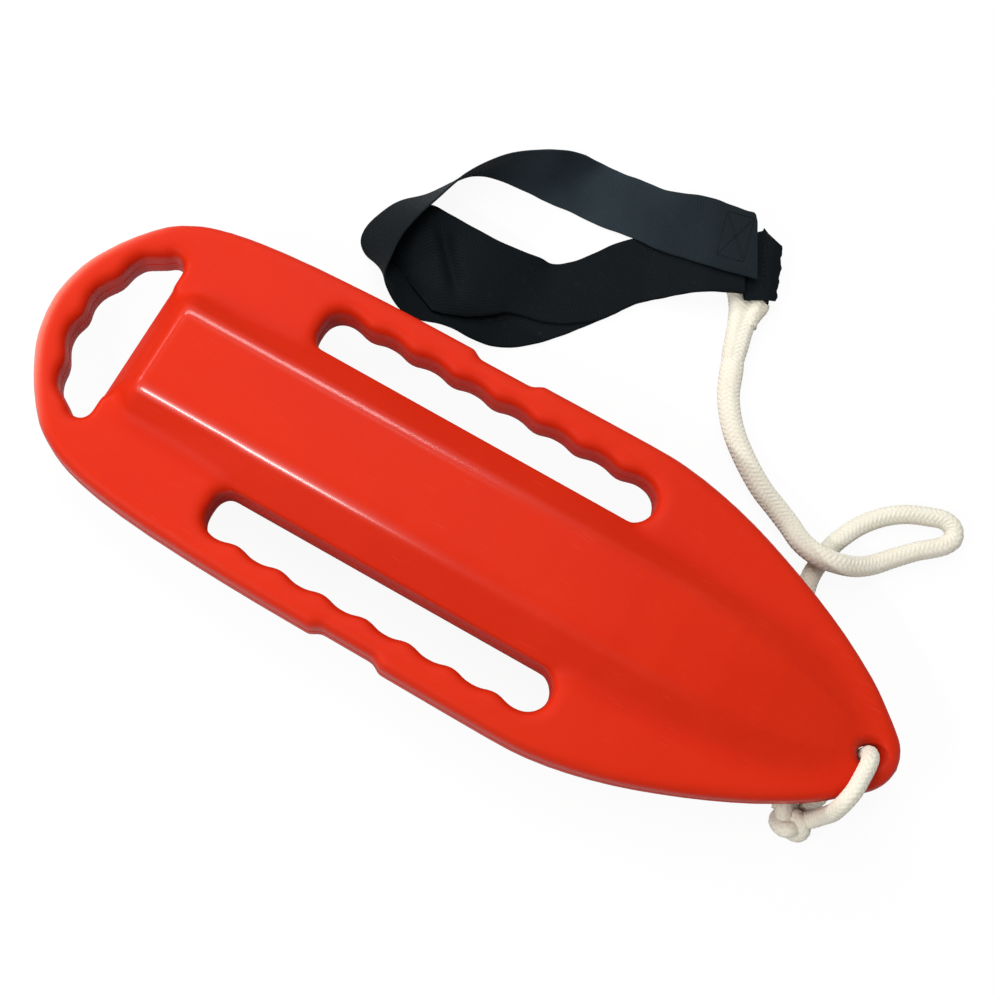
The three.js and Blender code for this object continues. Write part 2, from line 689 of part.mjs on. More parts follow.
// Thread: a crossed box through the bands and the tab, and a zigzag row along the sleeve
function boxStitches() {
  const x = boxStitchLength / 2;
  const y = boxStitchWidth / 2;
  const frame = new THREE.Matrix4().makeRotationZ(THREE.MathUtils.degToRad(boxStitchTurn));
  frame.setPosition(loopPlace(boxStitchShares));
  const bottom = tabTop + gap + gap + topLayer * layerPitch + strapThickness + gap;
  const corners = [[-x, -y], [x, -y], [x, y], [-x, y]];
  const shape = new THREE.Shape(corners.map(([a, b]) => new THREE.Vector2(a, b)));
  const innerX = x - stitchWidth;
  const innerY = y - stitchWidth;
  const slant = Math.hypot(innerX, innerY) * stitchWidth / 2;
  for (const side of [-1, 1]) {
    const reachY = innerY - slant / innerX;
    const reachX = innerX - slant / innerY;
    const ends = [[side * slant / innerY, 0], [side * innerX, reachY], [side * innerX, -reachY]];
    const flanks = [[0, side * slant / innerX], [reachX, side * innerY], [-reachX, side * innerY]];
    for (const hole of [ends, flanks]) {
      shape.holes.push(new THREE.Path(hole.map(([a, b]) => new THREE.Vector2(a, b))));
    }
  }
  return slabSolid(shape, bottom, bottom + stitchHeight, frame);
}

function rowStitches() {
  const up = new THREE.Vector3(0, 0, 1);
  const basis = new THREE.Matrix4().makeBasis(eyeAlong, eyeOut.clone().negate(), up);
  const start = (strapWidth - rowStitchLength) / 2;
  basis.setPosition(eyePoint(start, 0, 0));
  const count = Math.round(rowStitchLength / rowStitchPitch);
  const near = [];
  const far = [];
  for (let i = 0; i <= count; i += 1) {
    const side = i % 2 === 0 ? rowStitchSpread / 2 : -rowStitchSpread / 2;
    near.push(new THREE.Vector2(i * rowStitchPitch, side));
    far.unshift(new THREE.Vector2(i * rowStitchPitch, side + stitchWidth));
  }
  const bottom = tabTop + gap;
  return slabSolid(new THREE.Shape([...near, ...far]), bottom, bottom + stitchHeight, basis);
}

const object = new THREE.Group();
function place(name, solid, look) {
  const mesh = new THREE.Mesh(toGeometry(solid), new THREE.MeshStandardMaterial(look));
  mesh.name = name;
  object.add(mesh);
}

place('can_shell', canShell(), red);
place('foam_core', foamCore(), foamCream);
place('fill_plug', fillPlug(), red);
place('nose_knot', knotSolid(0), ropeCream);
place('nose_loop', ropeSolid(noseRoute(), 26).subtract(knotSolid(gap)), ropeCream);
place('tow_rope', ropeSolid(towRoute(), 66).subtract(knotSolid(gap)), ropeCream);
place('eye_splice', spliceSolid(), ropeCream);
place('rope_eye', ropeSolid(eyeRoute(), 26), ropeCream);
place('eye_sleeve', sleeveSolid(), webbingBlack);
place('shoulder_strap', bandSolid(loopShares), webbingBlack);
place('strap_tail', bandSolid(tailShares), webbingBlack);
place('box_stitches', boxStitches(), threadBlack);
place('row_stitches', rowStitches(), threadBlack);

export default object;
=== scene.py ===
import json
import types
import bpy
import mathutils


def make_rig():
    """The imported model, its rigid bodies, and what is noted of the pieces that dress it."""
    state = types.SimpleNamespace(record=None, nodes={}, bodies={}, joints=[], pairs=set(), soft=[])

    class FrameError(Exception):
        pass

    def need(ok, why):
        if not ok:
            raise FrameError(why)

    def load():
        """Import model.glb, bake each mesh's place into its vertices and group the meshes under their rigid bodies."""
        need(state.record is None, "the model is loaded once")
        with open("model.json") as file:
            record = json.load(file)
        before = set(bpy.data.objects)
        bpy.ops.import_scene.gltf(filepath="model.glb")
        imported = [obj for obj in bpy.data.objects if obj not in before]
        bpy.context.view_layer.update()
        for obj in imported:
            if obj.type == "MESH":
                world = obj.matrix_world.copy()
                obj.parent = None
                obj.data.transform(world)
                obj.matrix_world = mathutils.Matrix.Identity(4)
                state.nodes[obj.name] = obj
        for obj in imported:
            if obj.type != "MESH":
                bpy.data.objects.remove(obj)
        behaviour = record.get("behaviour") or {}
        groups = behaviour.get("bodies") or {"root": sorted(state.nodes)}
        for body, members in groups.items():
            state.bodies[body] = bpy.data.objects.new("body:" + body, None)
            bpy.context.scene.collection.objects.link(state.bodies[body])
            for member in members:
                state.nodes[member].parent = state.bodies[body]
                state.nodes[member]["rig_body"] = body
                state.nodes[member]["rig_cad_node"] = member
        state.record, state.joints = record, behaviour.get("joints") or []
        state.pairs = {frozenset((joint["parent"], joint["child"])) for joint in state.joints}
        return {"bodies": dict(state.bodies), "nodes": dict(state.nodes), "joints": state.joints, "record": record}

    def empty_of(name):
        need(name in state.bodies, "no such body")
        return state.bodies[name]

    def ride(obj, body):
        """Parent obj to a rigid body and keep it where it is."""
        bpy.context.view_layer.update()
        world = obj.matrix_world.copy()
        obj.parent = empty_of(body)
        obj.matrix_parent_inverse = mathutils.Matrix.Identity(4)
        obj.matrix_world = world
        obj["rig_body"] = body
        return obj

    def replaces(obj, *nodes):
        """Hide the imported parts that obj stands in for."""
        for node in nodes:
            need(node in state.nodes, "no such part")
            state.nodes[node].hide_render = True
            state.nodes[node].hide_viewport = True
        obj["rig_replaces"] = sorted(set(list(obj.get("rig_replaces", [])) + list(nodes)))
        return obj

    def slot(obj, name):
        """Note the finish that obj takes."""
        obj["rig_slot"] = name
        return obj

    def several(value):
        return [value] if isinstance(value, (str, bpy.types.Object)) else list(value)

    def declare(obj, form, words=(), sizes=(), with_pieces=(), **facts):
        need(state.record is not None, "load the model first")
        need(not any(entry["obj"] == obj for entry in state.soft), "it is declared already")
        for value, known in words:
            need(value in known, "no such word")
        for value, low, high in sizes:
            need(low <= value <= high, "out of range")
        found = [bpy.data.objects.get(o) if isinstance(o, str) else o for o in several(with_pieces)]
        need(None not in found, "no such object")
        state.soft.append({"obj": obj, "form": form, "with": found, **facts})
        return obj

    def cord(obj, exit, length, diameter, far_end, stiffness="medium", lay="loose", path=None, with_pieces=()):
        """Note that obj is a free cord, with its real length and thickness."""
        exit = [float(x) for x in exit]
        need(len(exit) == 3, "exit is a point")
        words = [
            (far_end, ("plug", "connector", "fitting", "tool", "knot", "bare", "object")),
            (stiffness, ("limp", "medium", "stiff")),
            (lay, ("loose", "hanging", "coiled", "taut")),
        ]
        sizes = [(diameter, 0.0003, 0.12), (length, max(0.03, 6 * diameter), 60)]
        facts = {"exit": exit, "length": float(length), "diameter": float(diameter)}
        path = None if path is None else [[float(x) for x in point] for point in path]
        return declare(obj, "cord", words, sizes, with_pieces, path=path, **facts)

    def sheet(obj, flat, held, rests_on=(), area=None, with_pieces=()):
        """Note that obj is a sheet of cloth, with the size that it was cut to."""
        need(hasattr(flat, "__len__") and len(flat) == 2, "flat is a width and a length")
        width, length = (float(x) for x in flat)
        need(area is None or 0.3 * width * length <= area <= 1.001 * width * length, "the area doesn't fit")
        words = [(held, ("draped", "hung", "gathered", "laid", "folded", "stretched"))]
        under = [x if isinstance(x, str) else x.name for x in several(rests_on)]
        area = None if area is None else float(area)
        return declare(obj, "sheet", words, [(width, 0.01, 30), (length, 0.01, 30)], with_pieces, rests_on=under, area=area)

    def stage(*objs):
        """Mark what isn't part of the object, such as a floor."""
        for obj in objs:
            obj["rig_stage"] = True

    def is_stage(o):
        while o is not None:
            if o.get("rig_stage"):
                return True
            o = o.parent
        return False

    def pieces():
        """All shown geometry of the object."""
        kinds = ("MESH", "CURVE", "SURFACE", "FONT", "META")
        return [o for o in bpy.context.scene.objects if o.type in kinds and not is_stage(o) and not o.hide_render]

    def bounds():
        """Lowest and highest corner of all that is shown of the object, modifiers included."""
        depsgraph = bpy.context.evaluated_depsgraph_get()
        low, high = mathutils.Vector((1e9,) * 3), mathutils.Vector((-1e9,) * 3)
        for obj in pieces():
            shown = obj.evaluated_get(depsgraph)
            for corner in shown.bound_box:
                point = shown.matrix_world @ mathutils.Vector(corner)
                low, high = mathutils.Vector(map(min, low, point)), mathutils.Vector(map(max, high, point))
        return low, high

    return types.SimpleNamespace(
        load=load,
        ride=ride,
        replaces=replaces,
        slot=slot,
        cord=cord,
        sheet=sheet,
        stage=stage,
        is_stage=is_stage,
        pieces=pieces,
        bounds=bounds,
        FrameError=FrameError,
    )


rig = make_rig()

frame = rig.load()

import json
import math

import bmesh
import bpy
import numpy as np
from mathutils import Matrix, Vector

cad_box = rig.bounds()

# Sizes of the float, its rope and its webbing, in metres, as in the part's source.
CAN_LENGTH = 0.709
CAN_WIDTH = 0.247
CAN_HEIGHT = 0.088
RIM_THICKNESS = 0.044
NOSE_THICKNESS = 0.031
TAPER_START_SHARE = 0.141
NOSE_SHARE = 0.5032
HOLE_SETBACK = 0.0233
HOLE_EDGE_HALF = 0.03330
PLUG_X = -0.2116 * CAN_LENGTH
PLUG_FLANGE = 0.012
PLUG_FLANGE_HEIGHT = 0.0016
PLUG_STEM = 0.008
PLUG_STEM_LENGTH = 0.006
ROPE_DIAMETER = 0.014
KNOT_SIZE = (0.034, 0.027, 0.023)
KNOT_TURN = -35
KNOT_SHARES = (0.4386, -0.255)
KNOT_LIFT_SHARE = 0.53
STRAP_WIDTH = 0.050
STRAP_THICKNESS = 0.0016
LOOP_REACH = 0.290
LOOP_SETBACK = 0.009
LOOP_INSET = 0.035
EYE_RAMP = 0.052
TAB_BACK = 0.040
SLEEVE_LENGTH = 0.020
GAP = 0.0003
BAND_GAP = 0.0005

MM = 0.001
ROPE_RADIUS = ROPE_DIAMETER / 2
ROPE_REST = ROPE_RADIUS + GAP
SLEEVE_INNER = ROPE_RADIUS + GAP
SLEEVE_OUTER = SLEEVE_INNER + STRAP_THICKNESS
EYE_AXIS_HEIGHT = SLEEVE_OUTER + GAP
TAB_TOP = EYE_AXIS_HEIGHT + SLEEVE_OUTER + GAP
LAYER_PITCH = STRAP_THICKNESS + BAND_GAP
NOSE_X = NOSE_SHARE * CAN_LENGTH
HOLE_X = NOSE_X - HOLE_SETBACK

# Rope routes, as shares: along the float, across it, and height in rope rests.
TOW_SHARES = [
    (0.427, -0.235, 1.08), (0.42, -0.174, 1), (0.413, -0.105, 1), (0.403, -0.024, 1),
    (0.391, 0.065, 1), (0.375, 0.17, 1), (0.36, 0.275, 1), (0.348, 0.364, 1),
    (0.3425, 0.433, 1), (0.3435, 0.5, 1), (0.3475, 0.566, 1), (0.3535, 0.61, 1),
    (0.364, 0.667, 1), (0.382, 0.729, 1), (0.4035, 0.775, 1), (0.426, 0.803, 1),
    (0.4415, 0.817, 1), (0.4542, 0.808, 1), (0.4595, 0.777, 1), (0.4546, 0.745, 1),
    (0.443, 0.7125, 1), (0.431, 0.684, 1), (0.4126, 0.6293, 1), (0.3937, 0.5695, 1.25),
    (0.3769, 0.5304, 2.1), (0.3577, 0.5056, 2.95), (0.3365, 0.4958, 3.12),
    (0.315, 0.5136, 2.45), (0.2958, 0.5535, 1.35), (0.275, 0.585, 1), (0.252, 0.615, 1),
    (0.22, 0.676, 1), (0.193, 0.745, 1), (0.172, 0.83, 1), (0.161, 0.911, 1),
    (0.153, 0.984, 1),
]
# Nose loop: place in front of the hole, place across, height from under to over the nose.
NOSE_SHARES = [
    (-0.75, -1.83, 0.095), (-0.41, -1.68, 0.22), (-0.25, -1.56, 0.39), (-0.16, -1.5, 0.58),
    (-0.13, -1.44, 0.78), (-0.08, -1.24, 0.96), (-0.01, -0.96, 1.02), (0.02, -0.62, 1.02),
    (0.03, -0.24, 0.985), (0.01, -0.03, 0.84), (0, 0, 0.61), (0, -0.045, 0.36),
    (-0.06, -0.27, 0.136), (-0.24, -0.63, 0.02), (-0.45, -1.11, 0), (-0.67, -1.59, 0.02),
]
# Sides of the eye: along and out of its frame in rope diameters, height up to the sleeve.
EYE_SHARES = [(-1.5, -0.337, 0), (-1.07, -0.33, 0), (-0.43, -0.07, 0.9), (0.14, 0, 1)]
EYE_RETURN_SHARES = [
    (1.07, -1.5, 0), (0.29, -1.22, 0), (-0.5, -1.06, 0), (-1.07, -1.01, 0), (-1.5, -1, 0),
]
EYE_TURN_SHARE = 0.83
EYE_STRAIGHT_SHARE = 0.57
EYE_PLACE_SHARES = (0.1495, 1.154)
# Outline of the throat in mm: place along the eye, its left side and its right side.
THROAT_EDGES = [
    (-58, -21.6, -6.4), (-50, -22.7, -5), (-44, -22.9, -3.8), (-38, -22.6, -2.7),
    (-27, -21.7, -1.1), (-20, -21.3, 0.8), (-11, -21.5, 5.6), (-6, -21.6, 8.8),
    (-1.2, -21.7, 10.2),
]

# Webbing stations: places back and across, plan turn, tilt, bands beneath.
LOOP_SHARES = [
    (0.06, 0.246, 104, 0, 2.6), (0.1, 0.235, 102, 0, 2.6), (0.167, 0.219, 98, 0, 2.6),
    (0.245, 0.216, 96, 0, 2.6), (0.33, 0.209, 97, 0, 2.3), (0.4, 0.2, 97, 0, 1.1),
    (0.47, 0.192, 94, 0, 0.1), (0.54, 0.189, 89, 0, 0), (0.597, 0.164, 81, 23, 0),
    (0.652, 0.14, 72, 58, 0), (0.726, 0.112, 45, 64, 0), (0.779, 0.079, 20, 70, 0),
    (0.826, 0.017, -47, 71, 0), (0.872, -0.084, -37, 60, 0), (0.907, -0.131, -25, 49, 0),
    (0.928, -0.191, -21, 43, 0), (0.938, -0.243, -14, 42, 0), (0.928, -0.29, -17, 48, 0),
    (0.893, -0.336, -34, 58, 0), (0.847, -0.375, -57, 68, 0), (0.81, -0.376, -65, 52, 0),
    (0.767, -0.36, -68, 39, 0), (0.723, -0.32, -72, 25, 0), (0.673, -0.291, -75, 15, 0),
    (0.598, -0.279, -77, 6, 0), (0.547, -0.26, -68, 0, 0), (0.498, -0.222, -54, 0, 0),
    (0.455, -0.172, -44, 0, 0), (0.386, -0.08, -38, 0, 0), (0.314, 0.014, -41, 0, 0),
    (0.24, 0.087, -50, 0, 0), (0.15, 0.15, -57, 0, 0), (0.065, 0.199, -60, 0, 0),
]
# The tail ends on the loop, one band higher than the loop's own last stations.
TAIL_SHARES = [
    (0.557, -0.159, -81, -7, 1.9), (0.507, -0.145, -74, -3, 1), (0.463, -0.133, -58, 0, 1),
] + [(*row[:4], 1) for row in LOOP_SHARES[-5:]]
# Where the worn cloth lies off its even route: row of the route, then how far its inner and
# its outer edge lie from there, in mm.
LOOP_NUDGES = {
    0: (11, -1.5, 0, -2.1, -0.3, 0), 1: (0, -4.5, 0, 0, 0, 0), 2: (0, -3.6, 0, 0, 1.8, 0),
    3: (0, -3.1, 0, 0, -0.5, 0), 4: (0, -1, 0, 0, -2, 0), 8: (0, 2.6, 0, 0, 0, 0),
    9: (0, -1, 0, 0, 0, 0), 12: (0, 0, 0, -1.4, -0.8, 0), 13: (0, 0, 0, -3.4, -2, 0),
    14: (0, 0, 0, -3.1, -1.8, 0), 15: (0, 0, 0, -3.2, -1.9, 0), 16: (0, 0, 0, -1.4, -0.8, 0),
    17: (-1.2, -0.6, 0, 0, 0, 0), 18: (1.2, 2.6, 0, -2.4, -0.7, -2.1),
    19: (-6, 25.9, 0.3, -2, 3.6, -11), 20: (-5.4, 22, 0.1, -1.9, 3.5, -10.2),
    21: (-2.6, 10.7, 0, -1.1, 2, -6.4), 22: (0, 0, 0, -0.4, 0.7, -2.2), 29: (0, 0, 0, 0, 2.5, 0),
    30: (0, 0, 0, 0, -2, 0), 31: (0, -4, 0, 0, -4, 0), 32: (3, -4, 0, 3, -4, 0),
}
TAIL_NUDGES = {
    3: (0, 3.5, 0, 0, 0, 0), 4: (0, 6.5, 0, 0, 2.5, 0), 5: (0, 3, 0, 0, -2, 0),
    6: (0, -4, 0, 0, -4, 0), 7: (3, -4, 0, 3, -4, 0),
}
# Free end of the webbing, which stands up in a soft fan: its inner and outer edge, in mm.
TAIL_END_EDGES = [
    ((-162.2, 170, 7.5), (-110.6, 145.2, 19)), ((-169.2, 183.4, 10.5), (-106.5, 146.4, 18.5)),
    ((-167, 203, 14.5), (-102.3, 148, 17.5)), ((-157.1, 222.1, 19), (-97.5, 150.5, 16)),
    ((-142.2, 221.2, 21), (-91.7, 153.4, 14)), ((-126.9, 221.1, 22), (-84, 158.5, 11.5)),
    ((-110.6, 221, 21), (-76.5, 164, 9.5)), ((-89.9, 223.2, 17), (-68.5, 171, 7.5)),
]
# The fan's one fold: the two ends of its line, its depth and how far it reaches sideways.
TAIL_FOLD = ((-0.139, 0.210), (-0.1007, 0.1685), 0.006, 0.006)
BOX_STITCH_SHARES = (0.11, 0.236)
BOX_STITCH_TURN = -166
BOX_STITCH_SIZE = (0.022, 0.038)
TOP_LAYER = 2.6
ROW_STITCH_LENGTH = 0.042
ROW_STITCHES = 11


# ---- shared helpers
def feed(tree, socket, value):
    """Links the value to the socket, or sets a plain number or colour there."""
    if isinstance(value, bpy.types.NodeSocket):
        tree.links.new(value, socket)
    else:
        socket.default_value = (*value, 1) if socket.type == "RGBA" else value


def with_settings(made, **settings):
    for name, value in settings.items():
        setattr(made, name, value)
    return made


def add_node(tree, kind, inputs=None, **settings):
    """A node with its settings, and each input either linked or given its value."""
    made = with_settings(tree.nodes.new(kind), **settings)
    for socket, value in (inputs or {}).items():
        feed(tree, made.inputs[socket], value)
    return made


def add_object(name, data):
    made = bpy.data.objects.new(name, data)
    bpy.context.scene.collection.objects.link(made)
    return made


def alone(obj):
    bpy.ops.object.select_all(action="DESELECT")
    obj.select_set(True)
    bpy.context.view_layer.objects.active = obj


def finish_modifiers(obj):
    alone(obj)
    for modifier in list(obj.modifiers):
        bpy.ops.object.modifier_apply(modifier=modifier.name)


def into_mesh(obj):
    """Moves an object's place and turn into its mesh."""
    alone(obj)
    bpy.ops.object.transform_apply(location=True, rotation=True, scale=True)


def edit_all(obj, operator, **settings):
    """Runs an editing operator on the whole mesh."""
    alone(obj)
    bpy.ops.object.mode_set(mode="EDIT")
    bpy.ops.mesh.select_all(action="SELECT")
    operator(**settings)
    bpy.ops.object.mode_set(mode="OBJECT")


def face_outwards(obj):
    edit_all(obj, bpy.ops.mesh.normals_make_consistent, inside=False)


def dress(piece, material, body, slot, node=None, sharp_from=None):
    """Shades the piece, smooth up to an angle in degrees where one is given, and names its
    material, the body it rides on, its slot and the CAD node that it stands for."""
    alone(piece)
    if sharp_from is None:
        bpy.ops.object.shade_smooth()
    else:
        bpy.ops.object.shade_smooth_by_angle(angle=math.radians(sharp_from))
    piece.data.materials.clear()
    piece.data.materials.append(material)
    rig.ride(piece, body)
    if node:
        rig.replaces(piece, node)
    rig.slot(piece, slot)


def grid_mesh(name, points, across_uv, along_uv, closed_along=False):
    """A closed skin over rings of points; rings run round the piece, ends are capped.
    across_uv has one more value than a ring, because the skin closes on itself."""
    count, around = points.shape[:2]
    i = np.arange(count if closed_along else count - 1)[:, None]
    j = np.arange(around)[None, :]
    ring, next_ring, beside = i * around, (i + 1) % count * around, (j + 1) % around
    quads = np.stack([ring + j, ring + beside, next_ring + beside, next_ring + j], axis=-1)
    faces = quads.reshape(-1, 4).tolist()
    shape = quads.shape[:2]
    across, along = np.asarray(across_uv), np.asarray(along_uv)
    u0, u1 = (np.broadcast_to(u, shape) for u in (across[:-1], across[1:]))
    v0, v1 = (np.broadcast_to(v[:, None], shape) for v in (along[: len(i)], along[1 : len(i) + 1]))
    uv = np.stack([u0, v0, u1, v0, u1, v1, u0, v1], axis=-1).reshape(-1, 2)
    if not closed_along:
        for end, order in ((0, range(around - 1, -1, -1)), (count - 1, range(around))):
            faces.append([end * around + k for k in order])
            uv = np.vstack([uv, [(across[k], along[end]) for k in order]])
    mesh = bpy.data.meshes.new(name)
    mesh.from_pydata(points.reshape(-1, 3).tolist(), [], faces)
    layer = mesh.uv_layers.new(name="run")
    layer.data.foreach_set("uv", uv.astype(np.float32).ravel())
    mesh.update()
    return add_object(name, mesh)


def write_values(obj, name, values):
    """Keeps one number per vertex with the mesh, for its material to read."""
    layer = obj.data.attributes.new(name, "FLOAT", "POINT")
    layer.data.foreach_set("value", np.asarray(values, np.float32).ravel())


def vertex_values(mesh, name):
    values = np.empty(len(mesh.vertices) * 3)
    mesh.vertices.foreach_get(name, values)
    return values.reshape(-1, 3)


def eased(values, low, high):
    t = np.clip((np.asarray(values, float) - low) / (high - low), 0, 1)
    return t * t * (3 - 2 * t)


def unit(v):
    return v / np.linalg.norm(v, axis=-1, keepdims=True)


STEPS_PER_SPAN = 24
EDGE_TENSION = 0.5


def curve_points(points, tension=None):
    """Catmull-Rom curve through the points, centripetal unless a tension is given."""
    p = np.array(points, float)
    p = np.vstack([2 * p[0] - p[1], p, 2 * p[-1] - p[-2]])
    t = np.linspace(0, 1, STEPS_PER_SPAN + 1)[:-1, None]
    places = []
    for k in range(1, len(p) - 2):
        a, b, c, d = p[k - 1 : k + 3]
        if tension is None:
            t0, t1, t2 = (math.sqrt(np.linalg.norm(q)) for q in (b - a, c - b, d - c))
            m1 = ((b - a) / t0 - (c - a) / (t0 + t1) + (c - b) / t1) * t1
            m2 = ((c - b) / t1 - (d - b) / (t1 + t2) + (d - c) / t2) * t1
        else:
            m1, m2 = tension * (c - a), tension * (d - b)
        places.append(
            (2 * t**3 - 3 * t**2 + 1) * b + (t**3 - 2 * t**2 + t) * m1
            + (3 * t**2 - 2 * t**3) * c + (t**3 - t**2) * m2
        )
    return np.vstack([*places, p[-2]])


def turned(points, degrees):
    """Points turned about the vertical."""
    c, s = math.cos(math.radians(degrees)), math.sin(math.radians(degrees))
    return np.asarray(points) @ np.array([[c, s, 0], [-s, c, 0], [0, 0, 1]])


def lengths_along(line):
    return np.concatenate([[0], np.cumsum(np.linalg.norm(np.diff(line, axis=0), axis=1))])


def points_at(line, along, at):
    """The line's points at other lengths along it."""
    return np.stack([np.interp(at, along, line[:, k]) for k in range(3)], axis=1)


# ---- camera and studio
# Camera: places in metres, roll in degrees, lens and sensor in mm.
CAMERA_PLACE = (0.09257, -0.30419, 1.36893)
CAMERA_AIM = (0.00722, 0.03438, 0.044)
CAMERA_ROLL = 15.56
CAMERA_LENS = 66.905
CAMERA_SENSOR = 36
CAMERA_NEAREST = 0.01
# Lights: name, place, aim, width and height in metres, power in watts.
SOFTBOXES = [
    ("top_softbox", (-0.5, 0.7, 2.0), (0, 0, 0.04), (1.2, 1.2), 21),
    ("rear_left_softbox", (-1.0, -1.25, 1.0), (-0.1, 0, 0.04), (1.1, 0.7), 6),
    ("ridge_light", (-0.60, -1.20, 1.45), (-0.18, -0.05, 0.08), (0.56, 0.07), 16),
    ("far_softbox", (-0.9, 1.5, 1.2), (0, 0.1, 0.04), (1.4, 0.2), 12),
    ("tail_softbox", (-1.7, 0.2, 0.9), (0, 0, 0.04), (1.0, 0.4), 9),
]
# The world is dimmer to the object than to the camera, and so is the glow of the paper.
WORLD_LIGHT, WORLD_SEEN = 0.5, 1.0
PAPER_GREY = (0.42, 0.42, 0.42)
PAPER_ROUGHNESS = 0.9
PAPER_GLOW = 1.07
PAPER_GLOW_SEEN = 0.87
FLOOR_SIZE = 30
FLOOR_DROP = 0.0004


def aimed(place, aim, roll=0):
    """The matrix of what looks from its place to its aim, rolled by degrees."""
    turn = (Vector(aim) - Vector(place)).to_track_quat("-Z", "Y").to_matrix().to_4x4()
    return Matrix.Translation(place) @ turn @ Matrix.Rotation(math.radians(roll), 4, "Z")


def place_camera():
    """The camera stands where the photograph was taken from."""
    data = with_settings(
        bpy.data.cameras.new("photo_camera"), sensor_width=CAMERA_SENSOR, sensor_fit="HORIZONTAL",
        lens=CAMERA_LENS, clip_start=CAMERA_NEAREST,
    )
    camera = add_object("photo_camera", data)
    camera.matrix_world = aimed(CAMERA_PLACE, CAMERA_AIM, CAMERA_ROLL)
    bpy.context.scene.camera = camera


def add_softbox(name, place, aim, size, power):
    data = bpy.data.lights.new(name, "AREA")
    with_settings(data, shape="RECTANGLE", size=size[0], size_y=size[1], energy=power)
    add_object(name, data).matrix_world = aimed(place, aim)


def set_up_studio():
    scene = bpy.context.scene
    scene.view_settings.view_transform = "Standard"
    world = bpy.data.worlds.new("studio")
    world.use_nodes = True
    tree = world.node_tree
    seen = add_node(tree, "ShaderNodeLightPath").outputs["Is Camera Ray"]
    strength = add_node(tree, "ShaderNodeMapRange", {0: seen, 3: WORLD_LIGHT, 4: WORLD_SEEN})
    feed(tree, tree.nodes["Background"].inputs["Color"], (1, 1, 1))
    feed(tree, tree.nodes["Background"].inputs["Strength"], strength.outputs[0])
    scene.world = world
    for softbox in SOFTBOXES:
        add_softbox(*softbox)

    bpy.ops.mesh.primitive_plane_add(size=FLOOR_SIZE, location=(0, 0, -FLOOR_DROP))
    floor = bpy.context.object
    floor.name = "studio_floor"
    into_mesh(floor)
    paper, tree, shader = new_material("white_paper", 0.1)
    feed(tree, shader.inputs["Base Color"], PAPER_GREY)
    feed(tree, shader.inputs["Roughness"], PAPER_ROUGHNESS)
    glow = add_node(tree, "ShaderNodeEmission", {"Strength": PAPER_GLOW})
    seen = add_node(tree, "ShaderNodeLightPath").outputs["Is Camera Ray"]
    inputs = {0: times(tree, seen, PAPER_GLOW_SEEN), 1: shader.outputs[0], 2: glow.outputs[0]}
    mixed = add_node(tree, "ShaderNodeMixShader", inputs)
    feed(tree, tree.nodes["Material Output"].inputs["Surface"], mixed.outputs[0])
    floor.data.materials.append(paper)
    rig.stage(floor)


# ---- braided rope
BRAID_CELLS = 8
BRAID_PITCH = 0.0038
BRAID_MIDDLE = 0.6  # height of the braid that lies at the rope's stated radius
OFF_BORDER = 1e-4  # keeps whole cells off the borders between strands
ROPE_STEP = 0.00072
ROPE_AROUND = 64
ROPE_RELIEF = 0.00075
KNOT_RELIEF = 0.0007
PATH_STEP = 6
NOSE_ROPE_HALF = ROPE_RADIUS - 0.0006
EYE_ROPE_HALF = ROPE_RADIUS - 0.0003
# How the tow rope spreads and flattens: by how much, between which shares of its length.
TOW_HALF_WIDTH = (
    ROPE_RADIUS + 0.0003, [(0.0014, 0.55, 0.75), (0.0006, 0.93, 0.97), (-0.0016, 0.97, 1)],
)
TOW_HALF_HEIGHT = (ROPE_RADIUS - 0.0002, [(-0.0001, 0.6, 0.8), (-0.0015, 0.97, 1)])


def braid_height(u, v):
    """Height of a braid from 0 to 1. Each strand lies over two strands of the other hand and
    then under two, so that its floats stand in rows of chevrons."""
    row, column = np.floor(u), np.floor(v)
    over = (row + column) % 4 < 2
    across = np.where(over, u % 1, v % 1) - 0.5
    along = np.where(over, (row + v) % 4, (u + column) % 4 - 2) / 2 - 0.5
    crown = np.sqrt(np.clip(np.cos(math.pi * across), 0, 1))
    return crown * (0.4 + 0.6 * np.sqrt(np.clip(np.cos(math.pi * along), 0, 1)))


def braid_around(cells, around, along):
    """Height of the braid round a rope, with one row for each length along it."""
    lap = cells * np.arange(around) / around
    s = (along / BRAID_PITCH)[:, None]
    return braid_height(lap + s + OFF_BORDER, lap - s + OFF_BORDER)


def rope_frames(line, level):
    """Side and up vectors of a rope. They stay level on a rope that lies on the floor, and
    are carried along any other rope without twist."""
    run = unit(np.gradient(line, axis=0))
    if level:
        sides = unit(np.cross(run, (0, 0, 1)))
    else:
        sides = [unit(np.cross(run[0], (0, 0, 1)))]
        for k in range(1, len(line)):
            sides.append(unit(sides[-1] - run[k] * (sides[-1] @ run[k])))
    return np.array(sides), np.cross(sides, run)


def braid_rings(line, at, frames, halves, relief, around):
    """Rings of points round a rope: halves are half its width and half its height."""
    sides, ups = frames
    angle = np.arange(around) * 2 * math.pi / around
    height = braid_around(BRAID_CELLS, around, at)
    wide, high = (np.broadcast_to(half, at.shape)[:, None] for half in halves)
    grow = relief * (height - BRAID_MIDDLE)
    x = (wide + grow) * np.cos(angle)
    z = (high + grow) * np.sin(angle)
    return line[:, None] + sides[:, None] * x[..., None] + ups[:, None] * z[..., None], height


def braid_piece(name, rings, height, cells, laps_along, closed_along=False):
    """A piece of rope over its rings, which keeps the height of its strands."""
    around = rings.shape[1]
    laps = cells * np.arange(around + 1) / around
    piece = grid_mesh(name, rings, laps, laps_along, closed_along)
    write_values(piece, "crown", height)
    return piece


